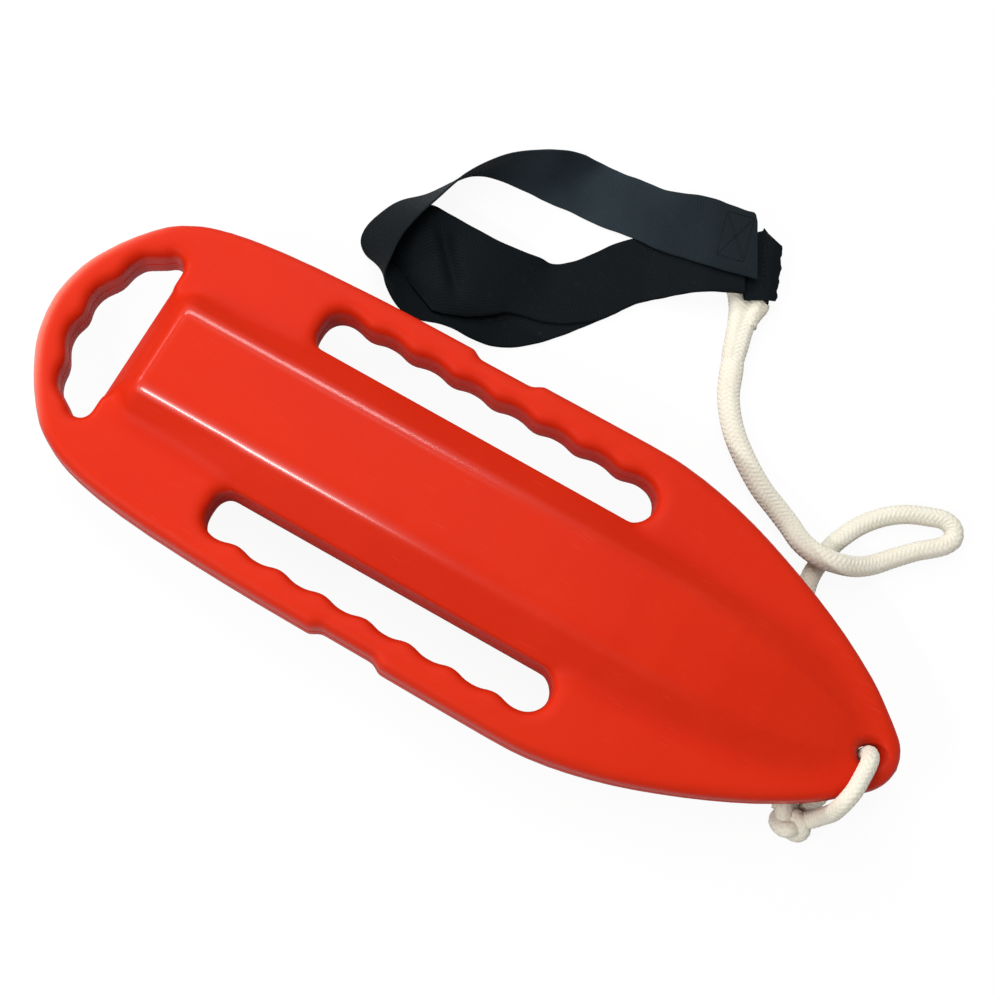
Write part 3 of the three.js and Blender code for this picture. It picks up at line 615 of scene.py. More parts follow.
def braided_rope(name, route, halves, level, material, node):
    """A rope along the route, with the line of its middle and its length. Each half is a
    number, or else a number and how it changes along the rope."""
    line = curve_points(route)
    along = lengths_along(line)
    at = np.linspace(0, along[-1], round(along[-1] / ROPE_STEP) + 1)
    line = points_at(line, along, at)
    sizes = []
    for half in halves:
        half, changes = half if isinstance(half, tuple) else (half, [])
        for amount, start, end in changes:
            half = half + amount * eased(at / at[-1], start, end)
        sizes.append(half)
    rings, height = braid_rings(line, at, rope_frames(line, level), sizes, ROPE_RELIEF, ROPE_AROUND)
    rope = braid_piece(name, rings, height, BRAID_CELLS, at / BRAID_PITCH)
    dress(rope, material, "can", "rope", node)
    return rope, line, at[-1]


def nose_route():
    taper_start = TAPER_START_SHARE * CAN_LENGTH
    along = (HOLE_X - taper_start) / (NOSE_X - taper_start)
    half = RIM_THICKNESS / 2 * (1 - along * (1 - NOSE_THICKNESS / RIM_THICKNESS))
    over = CAN_HEIGHT / 2 + half + ROPE_REST
    return [
        (HOLE_X + a * HOLE_SETBACK, b * HOLE_EDGE_HALF, ROPE_REST + (over - ROPE_REST) * c)
        for a, b, c in NOSE_SHARES
    ]


EYE_ORIGIN = np.array([EYE_PLACE_SHARES[0] * CAN_LENGTH, EYE_PLACE_SHARES[1] * CAN_WIDTH, 0])
EYE_ALONG = unit(np.array([-0.36, 0.933, 0]))
EYE_OUT = np.array([EYE_ALONG[1], -EYE_ALONG[0], 0])


def eye_point(along, out, z):
    """Points in the eye's frame: along its sleeve, out of it, and up from the ground."""
    along, out, z = (np.asarray(value, float)[..., None] for value in (along, out, z))
    return EYE_ORIGIN + EYE_ALONG * along + EYE_OUT * out + np.array([0, 0, 1]) * z


def eye_row(row):
    along, out, level = row
    height = ROPE_REST + (EYE_AXIS_HEIGHT - ROPE_REST) * level
    return eye_point(along * ROPE_DIAMETER, out * ROPE_DIAMETER, height)


def eye_route():
    turn = EYE_TURN_SHARE * ROPE_DIAMETER
    turn_along = SLEEVE_LENGTH + EYE_STRAIGHT_SHARE * ROPE_DIAMETER
    route = [eye_row(row) for row in EYE_SHARES]
    for along in (SLEEVE_LENGTH / 2, SLEEVE_LENGTH, turn_along):
        route.append(eye_point(along, 0, EYE_AXIS_HEIGHT))
    for k in range(1, 5):
        angle = k * math.pi / 4
        height = EYE_AXIS_HEIGHT + (ROPE_REST - EYE_AXIS_HEIGHT) * k / 4
        along, out = turn_along + turn * math.sin(angle), turn * (math.cos(angle) - 1)
        route.append(eye_point(along, out, height))
    return route + [eye_row(row) for row in EYE_RETURN_SHARES]


SPLICE_STEP = 0.0007
SPLICE_CELLS = 12
SPLICE_AROUND = 112
SPLICE_RADIUS = ROPE_RADIUS - 0.0002
LEAST_SPREAD = 0.0008
VALLEY_DEPTH, VALLEY_START = 0.16, 0.4
FLATNESS, FLAT_UNTIL = 0.22, 0.42


def rope_splice(material):
    """The throat of the eye: its two sides laid together and bound into one rope."""
    rows = np.array(THROAT_EDGES) * MM
    edges = curve_points(rows, EDGE_TENSION)
    along = np.arange(rows[0, 0], rows[-1, 0], SPLICE_STEP)
    left, right = (np.interp(along, edges[:, 0], edges[:, k]) for k in (1, 2))
    length = along - along[0]
    share = (length / length[-1])[:, None]
    spread = np.maximum((right - left) / 2 - SPLICE_RADIUS, LEAST_SPREAD)[:, None]
    angle = np.arange(SPLICE_AROUND) * 2 * math.pi / SPLICE_AROUND
    x = (spread + SPLICE_RADIUS) * np.cos(angle)
    lobe = np.clip(SPLICE_RADIUS**2 - np.clip(np.abs(x) - spread, 0, None) ** 2, 0, None)
    between = np.clip(1 - np.abs(x) / spread, 0, 1) ** 1.2
    valley = 1 - VALLEY_DEPTH * eased(share, VALLEY_START, 1) * between
    flat = 1 - FLATNESS * (1 - eased(share, 0, FLAT_UNTIL))
    z = np.sign(np.sin(angle)) * np.sqrt(lobe) * valley * flat
    height = braid_around(SPLICE_CELLS, SPLICE_AROUND, length)
    rise = z / SPLICE_RADIUS + 1e-6 * np.sin(angle)
    lean = unit(np.stack([x / (spread + SPLICE_RADIUS), rise], axis=-1))
    grow = lean * (KNOT_RELIEF * (height - BRAID_MIDDLE))[..., None]
    middle = ((left + right) / 2)[:, None] + x + grow[..., 0]
    rings = eye_point(along[:, None], middle, ROPE_REST + z + grow[..., 1])
    splice = braid_piece("rope_splice", rings, height, SPLICE_CELLS, length / BRAID_PITCH)
    face_outwards(splice)
    dress(splice, material, "can", "rope", "eye_splice", 60)
    return splice


KNOT_TUBE = 0.0064
KNOT_SWELL = 1.22
KNOT_AROUND = 48
KNOT_STEPS_PER_PITCH = 5


def rope_knot(material):
    """An overhand knot drawn tight, in the space that the plain knot holds."""
    t = np.linspace(0, 2 * math.pi, 220)
    reach = [size / 2 - KNOT_TUBE - 0.0002 for size in KNOT_SIZE]
    path = np.stack([
        (np.sin(t) + 2 * np.sin(2 * t)) / 3 * reach[0] * KNOT_SWELL,
        (np.cos(t) - 2 * np.cos(2 * t)) / 3 * reach[1] * KNOT_SWELL,
        -np.sin(3 * t) * reach[2],
    ], axis=1)
    centre = np.array([
        KNOT_SHARES[0] * CAN_LENGTH, KNOT_SHARES[1] * CAN_WIDTH, KNOT_LIFT_SHARE * KNOT_SIZE[2],
    ])
    path = turned(path, KNOT_TURN) + centre
    along = lengths_along(path)
    periods = round(along[-1] / BRAID_PITCH)
    at = np.linspace(0, along[-1], KNOT_STEPS_PER_PITCH * periods + 1)
    line = points_at(path, along, at)[:-1]
    run = unit(np.roll(line, -1, axis=0) - np.roll(line, 1, axis=0))
    sides = unit(np.cross(run, unit(line - centre) + np.array([0, 0, 0.3])))
    frames = (sides, np.cross(sides, run))
    laid = at * periods * BRAID_PITCH / along[-1]
    rings, height = braid_rings(
        line, laid[:-1], frames, (KNOT_TUBE, KNOT_TUBE), KNOT_RELIEF, KNOT_AROUND
    )
    knot = braid_piece("rope_knot", rings, height, BRAID_CELLS, laid / BRAID_PITCH, True)
    face_outwards(knot)
    dress(knot, material, "can", "rope", "nose_knot")
    return knot


def make_ropes(material):
    tow_route = [(a * CAN_LENGTH, b * CAN_WIDTH, c * ROPE_REST) for a, b, c in TOW_SHARES]
    ropes = [
        braided_rope(name, route, halves, level, material, node)
        for name, route, halves, level, node in (
            ("tow_rope_braid", tow_route, (TOW_HALF_WIDTH, TOW_HALF_HEIGHT), True, "tow_rope"),
            ("nose_loop_braid", nose_route(), (NOSE_ROPE_HALF,) * 2, False, "nose_loop"),
            ("rope_eye_braid", eye_route(), (EYE_ROPE_HALF,) * 2, True, "rope_eye"),
        )
    ]
    bound = {"with_pieces": [rope_splice(material), rope_knot(material)]}
    for (rope, line, length), lay, more in zip(ropes, ("loose", "taut", "loose"), (bound, {}, {})):
        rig.cord(rope, exit=line[0], length=length, diameter=ROPE_DIAMETER, far_end="object",
                stiffness="limp", lay=lay, path=line[::PATH_STEP], **more)


# ---- webbing
LOOP_ORIGIN = EYE_ORIGIN - np.array([LOOP_SETBACK, LOOP_INSET, 0])
BAND_STEP = 0.0022
BAND_SOFTNESS = 0.0045
CORNER_ROUND = 0.006
LEAST_HEIGHT = 0.0001
WAVE_SEED = 3
WAVE_HEIGHT = 0.00025
# The woven edges wander a little: by how much, and the wave lengths of either edge.
EDGE_WAVE = 0.0001
EDGE_WAVE_LENGTHS = ((0.0061, 0.0027), (0.0068, 0.0031))
EDGE_THIN, EDGE_THIN_WIDTH = 0.75, 0.0012
BAND_SHARP_FROM = 55


def eye_rise(points):
    """How far the webbing climbs to lie on the tab of the sleeve."""
    out = (points[..., :2] - EYE_ORIGIN[:2]) @ EYE_OUT[:2]
    return (TAB_TOP + GAP) * eased(out, -TAB_BACK - EYE_RAMP, -TAB_BACK - GAP)


def slow_waves(points):
    """Long soft unevenness of cloth that has lain about, from -1 to 1."""
    x, y = points[..., 0], points[..., 1]
    rng = np.random.default_rng(WAVE_SEED)
    total = 0
    for k in range(6):
        turn, shift = rng.random(2) * 2 * math.pi
        length = 0.03 + 0.012 * k
        total = total + np.sin((x * math.cos(turn) + y * math.sin(turn)) * 2 * math.pi / length + shift)
    return total / 6


def band_across():
    """Places across the webbing, close together at its woven edges."""
    edge = np.array([0, 0.0003, 0.0009, 0.0019])
    middle = np.linspace(0.0036, STRAP_WIDTH - 0.0036, 21)
    return np.concatenate([edge, middle, STRAP_WIDTH - edge[::-1]]) - STRAP_WIDTH / 2


def station_edges(shares, nudges):
    """Both edges of the webbing at each station of its route, without the rise at the eye."""
    rows = np.array(shares, float)
    places = np.stack([-rows[:, 0], rows[:, 1], 0 * rows[:, 0]], axis=1) * LOOP_REACH + LOOP_ORIGIN
    turn, tilt = np.radians(rows[:, 2]), np.radians(rows[:, 3])
    width = np.stack([np.cos(turn) * np.cos(tilt), np.sin(turn) * np.cos(tilt), np.sin(tilt)], axis=1)
    lift = GAP + rows[:, 4] * LAYER_PITCH + np.abs(np.sin(tilt)) * STRAP_WIDTH / 2
    places[:, 2] = lift + np.abs(np.cos(tilt)) * STRAP_THICKNESS / 2
    inner, outer = places - width * STRAP_WIDTH / 2, places + width * STRAP_WIDTH / 2
    for row, nudge in nudges.items():
        inner[row] += np.array(nudge[:3]) * MM
        outer[row] += np.array(nudge[3:]) * MM
    return inner, outer


def softened(line, spacing):
    """The line with its small bends eased, and both of its ends kept."""
    half = int(3 * BAND_SOFTNESS / spacing)
    weights = np.exp(-0.5 * (np.arange(-half, half + 1) * spacing / BAND_SOFTNESS) ** 2)
    weights /= weights.sum()
    ahead = 2 * line[0] - line[half:0:-1]
    behind = 2 * line[-1] - line[-2 : -half - 2 : -1]
    padded = np.vstack([ahead, line, behind])
    return np.stack([np.convolve(padded[:, k], weights, "valid") for k in range(3)], axis=1)


def fold_depth(middle, start, end, depth, reach):
    """How far a fold on the line from start to end presses the webbing down."""
    start, run = np.array(start), np.array(end) - start
    along = ((middle[..., :2] - start) @ run) / (run @ run)
    off = (middle[..., :2] - start) @ np.array([-run[1], run[0]]) / np.linalg.norm(run)
    fade = eased(along, -0.25, 0.2) * eased(1 - along, -0.2, 0.3)
    return depth * np.exp(-((off / reach) ** 2)) * fade


def webbing_band(name, edges, material, node, seed, round_end=0, fold=None):
    """Webbing between its two edges, with its length. One corner of its start can be round."""
    inner, outer = (curve_points(edge, EDGE_TENSION) for edge in edges)
    along = lengths_along((inner + outer) / 2)
    count = round(along[-1] / BAND_STEP)
    at = np.linspace(0, along[-1], count + 1)
    inner, outer = (softened(points_at(edge, along, at), along[-1] / count) for edge in (inner, outer))
    if round_end:
        pull = 1 - np.sqrt(1 - np.clip(1 - at / round_end, 0, 1) ** 2)
        outer = outer + (inner - outer) * (pull * round_end / STRAP_WIDTH)[:, None]
    across = band_across()
    shifts = np.random.default_rng(seed).random((2, 2)) * 6
    right, left = (
        EDGE_WAVE * sum(np.sin(at / length + shift) for length, shift in zip(*pair))[:, None]
        for pair in zip(EDGE_WAVE_LENGTHS, shifts)
    )
    stretch = np.where(across > 0, right, left) * np.sign(across)
    near_edge = (np.abs(across) * 2 / STRAP_WIDTH) ** 6
    share = across / STRAP_WIDTH + 0.5 + stretch / STRAP_WIDTH * near_edge
    middle = inner[:, None] + (outer - inner)[:, None] * share[..., None]
    if fold:
        middle[..., 2] -= fold_depth(middle, *fold)
    middle[..., 2] += eye_rise(middle)
    middle[..., 2] += WAVE_HEIGHT * (slow_waves(middle) + 1) / 2
    normal = unit(np.cross(np.gradient(middle, axis=1), np.gradient(middle, axis=0)))
    rim = np.clip(1 - (STRAP_WIDTH / 2 - np.abs(across)) / EDGE_THIN_WIDTH, 0, 1)
    thick = (STRAP_THICKNESS / 2 * (1 - EDGE_THIN * rim**2))[None, :, None] * normal
    rings = np.concatenate([middle - thick, (middle + thick)[:, ::-1]], axis=1)
    rings[..., 2] = np.maximum(rings[..., 2], LEAST_HEIGHT)
    band = grid_mesh(name, rings, np.concatenate([across, across[::-1], across[:1]]), at)
    face_outwards(band)
    dress(band, material, "strap", "webbing", node, BAND_SHARP_FROM)
    return band, at[-1]


# Places across the tab, from the loop's side to its frayed edge, and its hem and that edge.
HEM_END, TAB_EDGE = -0.0122, 0.0142
TAB_ACROSS = np.concatenate([
    np.linspace(-TAB_BACK, -0.0128, 16), [HEM_END, -0.0116], np.linspace(-0.0105, -0.0045, 5),
    [-0.0036, -0.0026, -0.0016, -0.0008], np.linspace(0.0008, TAB_EDGE, 11),
])
# The tab's ends are straight under the bands. Past them each one runs to its corner at the
# frayed edge, with a lean, and the far one no farther than its limit.
TAB_NEAR, TAB_FAR, TAB_FARTHEST = 0.0055, 0.050, 0.0555
NEAR_BANDS_END, NEAR_CORNER, NEAR_LEAN = -0.0120, (0.0114, 0.0012), 0.17
FAR_BANDS_END, FAR_CORNER, FAR_LEAN = -0.013, (0.0143, 0.0485), 0.39
TAB_BULGE, TAB_BULGE_AT, TAB_BULGE_REACH = 0.0058, -0.0024, 0.0013
# Loose threads at the frayed edge: how far they wander, their wave length and its shift.
FRAY_WAVES = [(0.0005, 0.0021, 0), (0.0004, 0.0047, 2), (0.0002, 0.0009, 0)]
CORNER_CUT = 0.0028
HEM_STEP = 0.0007
TUBE_UNEVENNESS = 0.00015


def webbing_sleeve(material):
    """Webbing folded round one side of the eye, with its tab under the bands."""
    along = np.linspace(0, SLEEVE_LENGTH, 15)
    angle = np.linspace(0, 2 * math.pi, 57)[:-1]
    outer = SLEEVE_OUTER + TUBE_UNEVENNESS * (np.sin(5 * angle) - 1)
    tube = np.concatenate([
        eye_point(run[:, None], radius * np.cos(angle), EYE_AXIS_HEIGHT + radius * np.sin(angle))
        for run, radius in ((along, outer), (along[::-1], SLEEVE_INNER))
    ])
    uv_round = np.append(angle, 2 * math.pi) * SLEEVE_OUTER
    parts = [grid_mesh("sleeve_tube", tube, uv_round, np.concatenate([along, along[::-1], [0]]), True)]

    back = TAB_ACROSS
    low = NEAR_CORNER[1] - (NEAR_CORNER[0] - back) * NEAR_LEAN
    low = np.where(back < NEAR_BANDS_END, TAB_NEAR, low)
    high = np.minimum(FAR_CORNER[1] + (FAR_CORNER[0] - back) * FAR_LEAN, TAB_FARTHEST)
    swell = TAB_BULGE * np.exp(-(((back - TAB_BULGE_AT) / TAB_BULGE_REACH) ** 2))
    high = np.where(back < FAR_BANDS_END, TAB_FAR, high) + swell
    reach = np.linspace(0, 1, 47)[:, None]
    along = low + (high - low) * reach
    fray = sum(amount * np.sin(along / length + shift) for amount, length, shift in FRAY_WAVES)
    cut = CORNER_CUT * np.clip(1 - along / 0.005, 0, 1) * eased(back, 0.008, TAB_EDGE)
    out = back + fray * eased(back, 0.004, TAB_EDGE) - cut
    drop = 0.0034 * eased(out, 0.0055, 0.0165) + 0.0012 * eased(along, 0.050, 0.060)
    hem = HEM_STEP * (1 - eased(along, 0.0052, 0.0062)) * eased(out, HEM_END, -0.0116)
    level = TAB_TOP - drop + 0.00012 * np.sin(along / 0.003 + out / 0.004)
    top, under = (eye_point(along, out, z) for z in (level + hem, level - STRAP_THICKNESS))
    ring_uv = np.concatenate([back, back[::-1], back[:1]])
    slab = np.concatenate([under, top[:, ::-1]], axis=1)
    parts.append(grid_mesh("sleeve_tab", slab, ring_uv, reach[:, 0] * STRAP_WIDTH))
    for part in parts:
        face_outwards(part)
    alone(parts[0])
    parts[1].select_set(True)
    bpy.ops.object.join()
    sleeve = bpy.context.object
    sleeve.name = "webbing_sleeve"
    dress(sleeve, material, "strap", "webbing", "eye_sleeve", 50)


THREAD_RADIUS = 0.00042
STITCH_FILL = 0.46
BOX_STITCH_PITCH = 0.0031
ROW_STITCH_PITCH = 0.005
ROW_STITCH_SIDE = 0.0012


def thread_dashes(name, lines, pitch, material, node):
    """Sewing thread as short stitches along the lines, each sunk at both ends."""
    bpy.ops.mesh.primitive_uv_sphere_add(segments=10, ring_count=8, radius=1, location=(0, 0, 0))
    stitch = bpy.context.object
    form = np.array([v.co for v in stitch.data.vertices])
    faces = [list(f.vertices) for f in stitch.data.polygons]
    bpy.data.objects.remove(stitch)
    verts, polys = [], []
    for start, end in lines:
        span = end - start
        length = np.linalg.norm(span)
        run = span / length
        side = unit(np.cross((0, 0, 1), run))
        turn = np.array([run, side, np.cross(run, side)])
        count = max(1, round(length / pitch))
        size = [length / count * STITCH_FILL, THREAD_RADIUS, THREAD_RADIUS]
        for k in range(count):
            polys.extend([[len(verts) + q for q in f] for f in faces])
            verts.extend((start + span * (k + 0.5) / count + (form * size) @ turn).tolist())
    mesh = bpy.data.meshes.new(name)
    mesh.from_pydata(verts, [], polys)
    mesh.update()
    dress(add_object(name, mesh), material, "strap", "thread", node)


def make_stitches(material):
    along, across = BOX_STITCH_SIZE[0] / 2, BOX_STITCH_SIZE[1] / 2
    centre = np.array([-BOX_STITCH_SHARES[0], BOX_STITCH_SHARES[1], 0]) * LOOP_REACH + LOOP_ORIGIN
    centre[2] = TAB_TOP + 2 * GAP + TOP_LAYER * LAYER_PITCH + STRAP_THICKNESS + GAP
    corners = [(p * along, q * across, 0) for p, q in ((-1, -1), (1, -1), (1, 1), (-1, 1))]
    a, b, c, d = turned(corners, BOX_STITCH_TURN) + centre
    box = [(a, b), (b, c), (c, d), (d, a), (a, c), (b, d)]
    thread_dashes("box_cross_thread", box, BOX_STITCH_PITCH, material, "box_stitches")
    start, step = (STRAP_WIDTH - ROW_STITCH_LENGTH) / 2, ROW_STITCH_LENGTH / ROW_STITCHES
    rows = []
    for k in range(ROW_STITCHES):
        side = ROW_STITCH_SIDE * (-1) ** k
        ends = ((start + step * k, -side), (start + step * (k + 1), side))
        rows.append([eye_point(at, out, TAB_TOP + 0.0001) for at, out in ends])
    thread_dashes("sleeve_row_thread", rows, ROW_STITCH_PITCH, material, "row_stitches")


# ---- float
WELD = 0.00002
BORE_REACH, BORE_TOP = 0.0086, 0.0092
SKIN_VOXEL = 0.0023
SEAM_RADIUS = 0.00025
HOLLOW_DEPTH = 0.00012
HOLLOW_SMOOTHING = 80
HOLE_NARROWING = 0.0019


def bulge(mesh):
    """Places and normals of the vertices, how far each stands out of the middle of its
    neighbours in metres, and a function that takes a value's mean over the neighbours."""
    count = len(mesh.vertices)
    co, normals = vertex_values(mesh, "co"), vertex_values(mesh, "normal")
    edges = np.empty(len(mesh.edges) * 2, int)
    mesh.edges.foreach_get("vertices", edges)
    edges = edges.reshape(-1, 2)
    ends = np.concatenate([edges, edges[:, ::-1]])
    links = np.maximum(np.bincount(ends[:, 0], minlength=count), 1)[:, None]

    def spread(values):
        flat = values.reshape(count, -1)
        sums = [np.bincount(ends[:, 0], flat[ends[:, 1], k], count) for k in range(flat.shape[1])]
        return (np.stack(sums, axis=1) / links).reshape(values.shape)

    return co, normals, ((co - spread(co)) * normals).sum(axis=1), spread


def soften_hollows(skin):
    """The sides of the pod run out into the rim in wide, soft hollows. What stands out of
    the skin near them keeps its form."""
    co, normals, out, spread = bulge(skin.data)
    hollow = np.clip(-out / HOLLOW_DEPTH, 0, 1) * eased(np.abs(normals[:, 2]), 0.25, 0.5)
    hollow *= eased(np.abs(co[:, 2] - CAN_HEIGHT / 2), 0.004, 0.012)
    for _ in range(5):
        hollow = np.maximum(hollow, spread(hollow) * 1.25)
    raised = np.clip(out, 0, None)
    for _ in range(2):
        hollow, raised = spread(hollow), spread(raised)
    hollow = np.clip(hollow, 0, 1) * (1 - eased(raised, 0.00001, 0.00006))
    group = skin.vertex_groups.new(name="hollows")
    for k in np.flatnonzero(hollow > 0.02):
        group.add([int(k)], float(hollow[k]), "REPLACE")
    relax = skin.modifiers.new("wide_hollows", "SMOOTH")
    with_settings(relax, factor=0.5, iterations=HOLLOW_SMOOTHING, vertex_group="hollows")
    finish_modifiers(skin)
    skin.vertex_groups.clear()


def narrow_nose_hole(skin):
    """The hole is narrowest halfway through, where it holds the rope."""
    co = vertex_values(skin.data, "co")
    away = co[:, :2] - [HOLE_X, 0]
    radius = np.linalg.norm(away, axis=1)
    height = np.abs(co[:, 2] - CAN_HEIGHT / 2) / (NOSE_THICKNESS / 2)
    pull = HOLE_NARROWING * (1 - eased(height, 0.2, 1.0)) * (1 - eased(radius, 0.0108, 0.0135))
    co[:, :2] -= away * (pull / radius)[:, None]
    skin.data.vertices.foreach_set("co", co.ravel())
    skin.data.update()


def mark_polish_and_painted_light(skin):
    """Where the skin is polished by use (the pod's edges, both ends and the walls of the grips),
    where it stands out or falls in, which the red takes as painted highlight and painted shade,
    and the rear end, which it paints paler as a painted glare."""
    co, normals, out, spread = bulge(skin.data)
    for _ in range(3):
        out = spread(out)
    high = eased(np.abs(co[:, 2] - CAN_HEIGHT / 2), 0.034, 0.0385)
    tilt = np.abs(normals[:, 2])
    fade = 1 - 0.85 * eased(co[:, 0] - 1.2 * co[:, 1], -0.09, 0.08)
    polished = [
        high * fade * eased(tilt, 0.82, 0.88) * (1 - eased(tilt, 0.95, 0.972)),
        0.8 * eased(-normals[:, 0], 0.35, 0.8) * eased(-co[:, 0], 0.25, 0.33),
        0.5 * eased(normals[:, 0], 0.35, 0.8) * eased(co[:, 0], 0.30, 0.345),
        0.45 * (1 - eased(tilt, 0.25, 0.6)),
    ]
    skin_polish_and_painted_light = {
        "ridge": np.maximum.reduce(polished),
        "edge": eased(out, 0.00003, 0.00014),
        "hollow": eased(-out, 0.00001, 0.00008),
        "painted_tail_glare": eased(-normals[:, 0], 0.15, 0.75) * eased(-co[:, 0], 0.28, 0.345),
    }
    for name, values in skin_polish_and_painted_light.items():
        write_values(skin, name, spread(spread(values)))


def float_skin(material):
    """The outside of the moulded float: a copy of its CAD shell without the inner wall,
    drawn over with an even skin and relaxed, so that its edges are round."""
    skin = add_object("float_skin", frame["nodes"]["can_shell"].data.copy())
    edit_all(skin, bpy.ops.mesh.remove_doubles, threshold=WELD)
    solid = bmesh.new()
    solid.from_mesh(skin.data)
    bore = [
        f for f in solid.faces
        if max(math.hypot(v.co.x - PLUG_X, v.co.y) for v in f.verts) < BORE_REACH
        and max(v.co.z for v in f.verts) < BORE_TOP and abs(f.normal.z) < 0.5
    ]
    bmesh.ops.delete(solid, geom=bore, context="FACES")
    start = max(solid.verts, key=lambda v: v.co.x)
    reached, todo = {start}, [start]
    while todo:
        vert = todo.pop()
        for edge in vert.link_edges:
            other = edge.other_vert(vert)
            if other not in reached:
                reached.add(other)
                todo.append(other)
    bmesh.ops.delete(solid, geom=[v for v in solid.verts if v not in reached], context="VERTS")
    bmesh.ops.holes_fill(solid, edges=[e for e in solid.edges if e.is_boundary], sides=0)
    solid.to_mesh(skin.data)
    solid.free()

    remesh = skin.modifiers.new("even_skin", "REMESH")
    with_settings(remesh, mode="VOXEL", voxel_size=SKIN_VOXEL, use_smooth_shade=True)
    with_settings(skin.modifiers.new("rounding", "SMOOTH"), factor=0.5, iterations=5)
    finish_modifiers(skin)
    soften_hollows(skin)
    narrow_nose_hole(skin)
    mark_polish_and_painted_light(skin)
    face_outwards(skin)
    dress(skin, material, "can", "shell_red", "can_shell")
    return skin


def parting_line(skin, material):
    """The fine ridge where the two halves of the mould met."""
    seam = add_object("parting_line", skin.data.copy())
    seam.data.materials.clear()
    edit_all(seam, bpy.ops.mesh.bisect, plane_co=(0, 0, CAN_HEIGHT / 2), plane_no=(0, 0, 1),
             use_fill=False, clear_inner=True, clear_outer=True)
    bpy.ops.object.convert(target="CURVE")
    curve = bpy.context.object.data
    with_settings(curve, bevel_mode="ROUND", bevel_depth=SEAM_RADIUS, bevel_resolution=1)
    bpy.ops.object.convert(target="MESH")
    seam = bpy.context.object
    seam.name = "parting_line"
    face_outwards(seam)
    dress(seam, material, "can", "shell_red")


PLUG_SLOT = (0.0150, 0.0020, 0.0022)
PLUG_SLOT_TOP = 0.0002
PLUG_DISH_RIM, PLUG_DISH = 0.0026, 0.0004
PLUG_BEVEL = 0.00022


def filling_plug(material):
    """The plug of the filling hole, with a bevelled flange and a slot to turn it by."""
    place = (PLUG_X, 0, GAP + PLUG_FLANGE_HEIGHT / 2)
    bpy.ops.mesh.primitive_cylinder_add(
        vertices=96, radius=PLUG_FLANGE, depth=PLUG_FLANGE_HEIGHT, location=place
    )
    plug = bpy.context.object
    plug.name = "turned_plug"
    into_mesh(plug)
    for above, border, rise in (
        (True, PLUG_FLANGE - PLUG_STEM, PLUG_STEM_LENGTH), (False, PLUG_DISH_RIM, PLUG_DISH),
    ):
        bpy.ops.object.mode_set(mode="EDIT")
        bpy.ops.mesh.select_all(action="DESELECT")
        bpy.ops.object.mode_set(mode="OBJECT")
        for face in plug.data.polygons:
            face.select = len(face.vertices) > 8 and (face.normal.z > 0.9) == above
        bpy.ops.object.mode_set(mode="EDIT")
        bpy.ops.mesh.select_mode(type="FACE")
        bpy.ops.mesh.inset(thickness=border, depth=0)
        bpy.ops.mesh.extrude_region_move(TRANSFORM_OT_translate={"value": (0, 0, rise)})
        bpy.ops.object.mode_set(mode="OBJECT")

    bpy.ops.mesh.primitive_cube_add(size=1, location=(PLUG_X, 0, GAP + PLUG_SLOT_TOP))
    slot = bpy.context.object
    slot.dimensions = PLUG_SLOT
    into_mesh(slot)
    groove = plug.modifiers.new("slot", "BOOLEAN")
    with_settings(groove, operation="DIFFERENCE", solver="EXACT", object=slot)
    rounding = plug.modifiers.new("rounding", "BEVEL")
    with_settings(rounding, width=PLUG_BEVEL, segments=2, limit_method="ANGLE")
    finish_modifiers(plug)
    bpy.data.objects.remove(slot)
    face_outwards(plug)
    dress(plug, material, "can", "shell_red", "fill_plug", 35)


# ---- shared effects
def effect_group(name, inputs, outputs):
    """An empty node group, with the sockets at its start and its end. An input with no
    value of its own is a place, and every other one is a number."""
    tree = bpy.data.node_groups.new(name, "ShaderNodeTree")
    for label, value in inputs.items():
        kind = "NodeSocketVector" if value is None else "NodeSocketFloat"
        socket = tree.interface.new_socket(label, in_out="INPUT", socket_type=kind)
        if value is not None:
            socket.default_value = value
    for label in outputs:
        tree.interface.new_socket(label, in_out="OUTPUT", socket_type="NodeSocketFloat")
    return tree, tree.nodes.new("NodeGroupInput").outputs, tree.nodes.new("NodeGroupOutput").inputs


def maths(tree, operation, a, b=0.0):
    return add_node(tree, "ShaderNodeMath", {0: a, 1: b}, operation=operation).outputs[0]


def times(tree, a, b):
    return maths(tree, "MULTIPLY", a, b)


def added(tree, base, *parts):
    """The base with a share of each other value added."""
    for value, share in parts:
        base = maths(tree, "ADD", base, times(tree, value, share))
    return base


def noise(tree, vector, scale, detail=2.0, roughness=0.5):
    inputs = {"Vector": vector, "Scale": scale, "Detail": detail, "Roughness": roughness}
    return add_node(tree, "ShaderNodeTexNoise", inputs).outputs["Fac"]


def ramped(tree, value, low, high, bottom=0.0, top=1.0):
    """The value eased from bottom to top between low and high."""
    inputs = {0: value, 1: low, 2: high, 3: bottom, 4: top}
    return add_node(tree, "ShaderNodeMapRange", inputs, interpolation_type="SMOOTHSTEP").outputs[0]


def moulded_grain():
    """The fine pebbling and slow unevenness of rotation-moulded plastic, and its clouding."""
    tree, start, end = effect_group(
        "moulded_grain", {"Place": None, "Fineness": 1.0}, ("Height", "Cloud")
    )
    inputs = {0: start["Place"], "Scale": start["Fineness"]}
    place = add_node(tree, "ShaderNodeVectorMath", inputs, operation="SCALE").outputs[0]
    pebbles, swell = noise(tree, place, 620, 2.0), noise(tree, place, 85, 1.0)
    feed(tree, end["Height"], added(tree, times(tree, pebbles, 0.35), (swell, 0.65)))
    feed(tree, end["Cloud"], ramped(tree, noise(tree, place, 11, 4.0, 0.55), 0.3, 0.7))
    return tree


# Scratches in three directions: how each set is turned, and how close its breaks are.
SCRATCH_SETS = ((0.4, 38.0), (-0.7, 30.0), (1.5, 34.0))


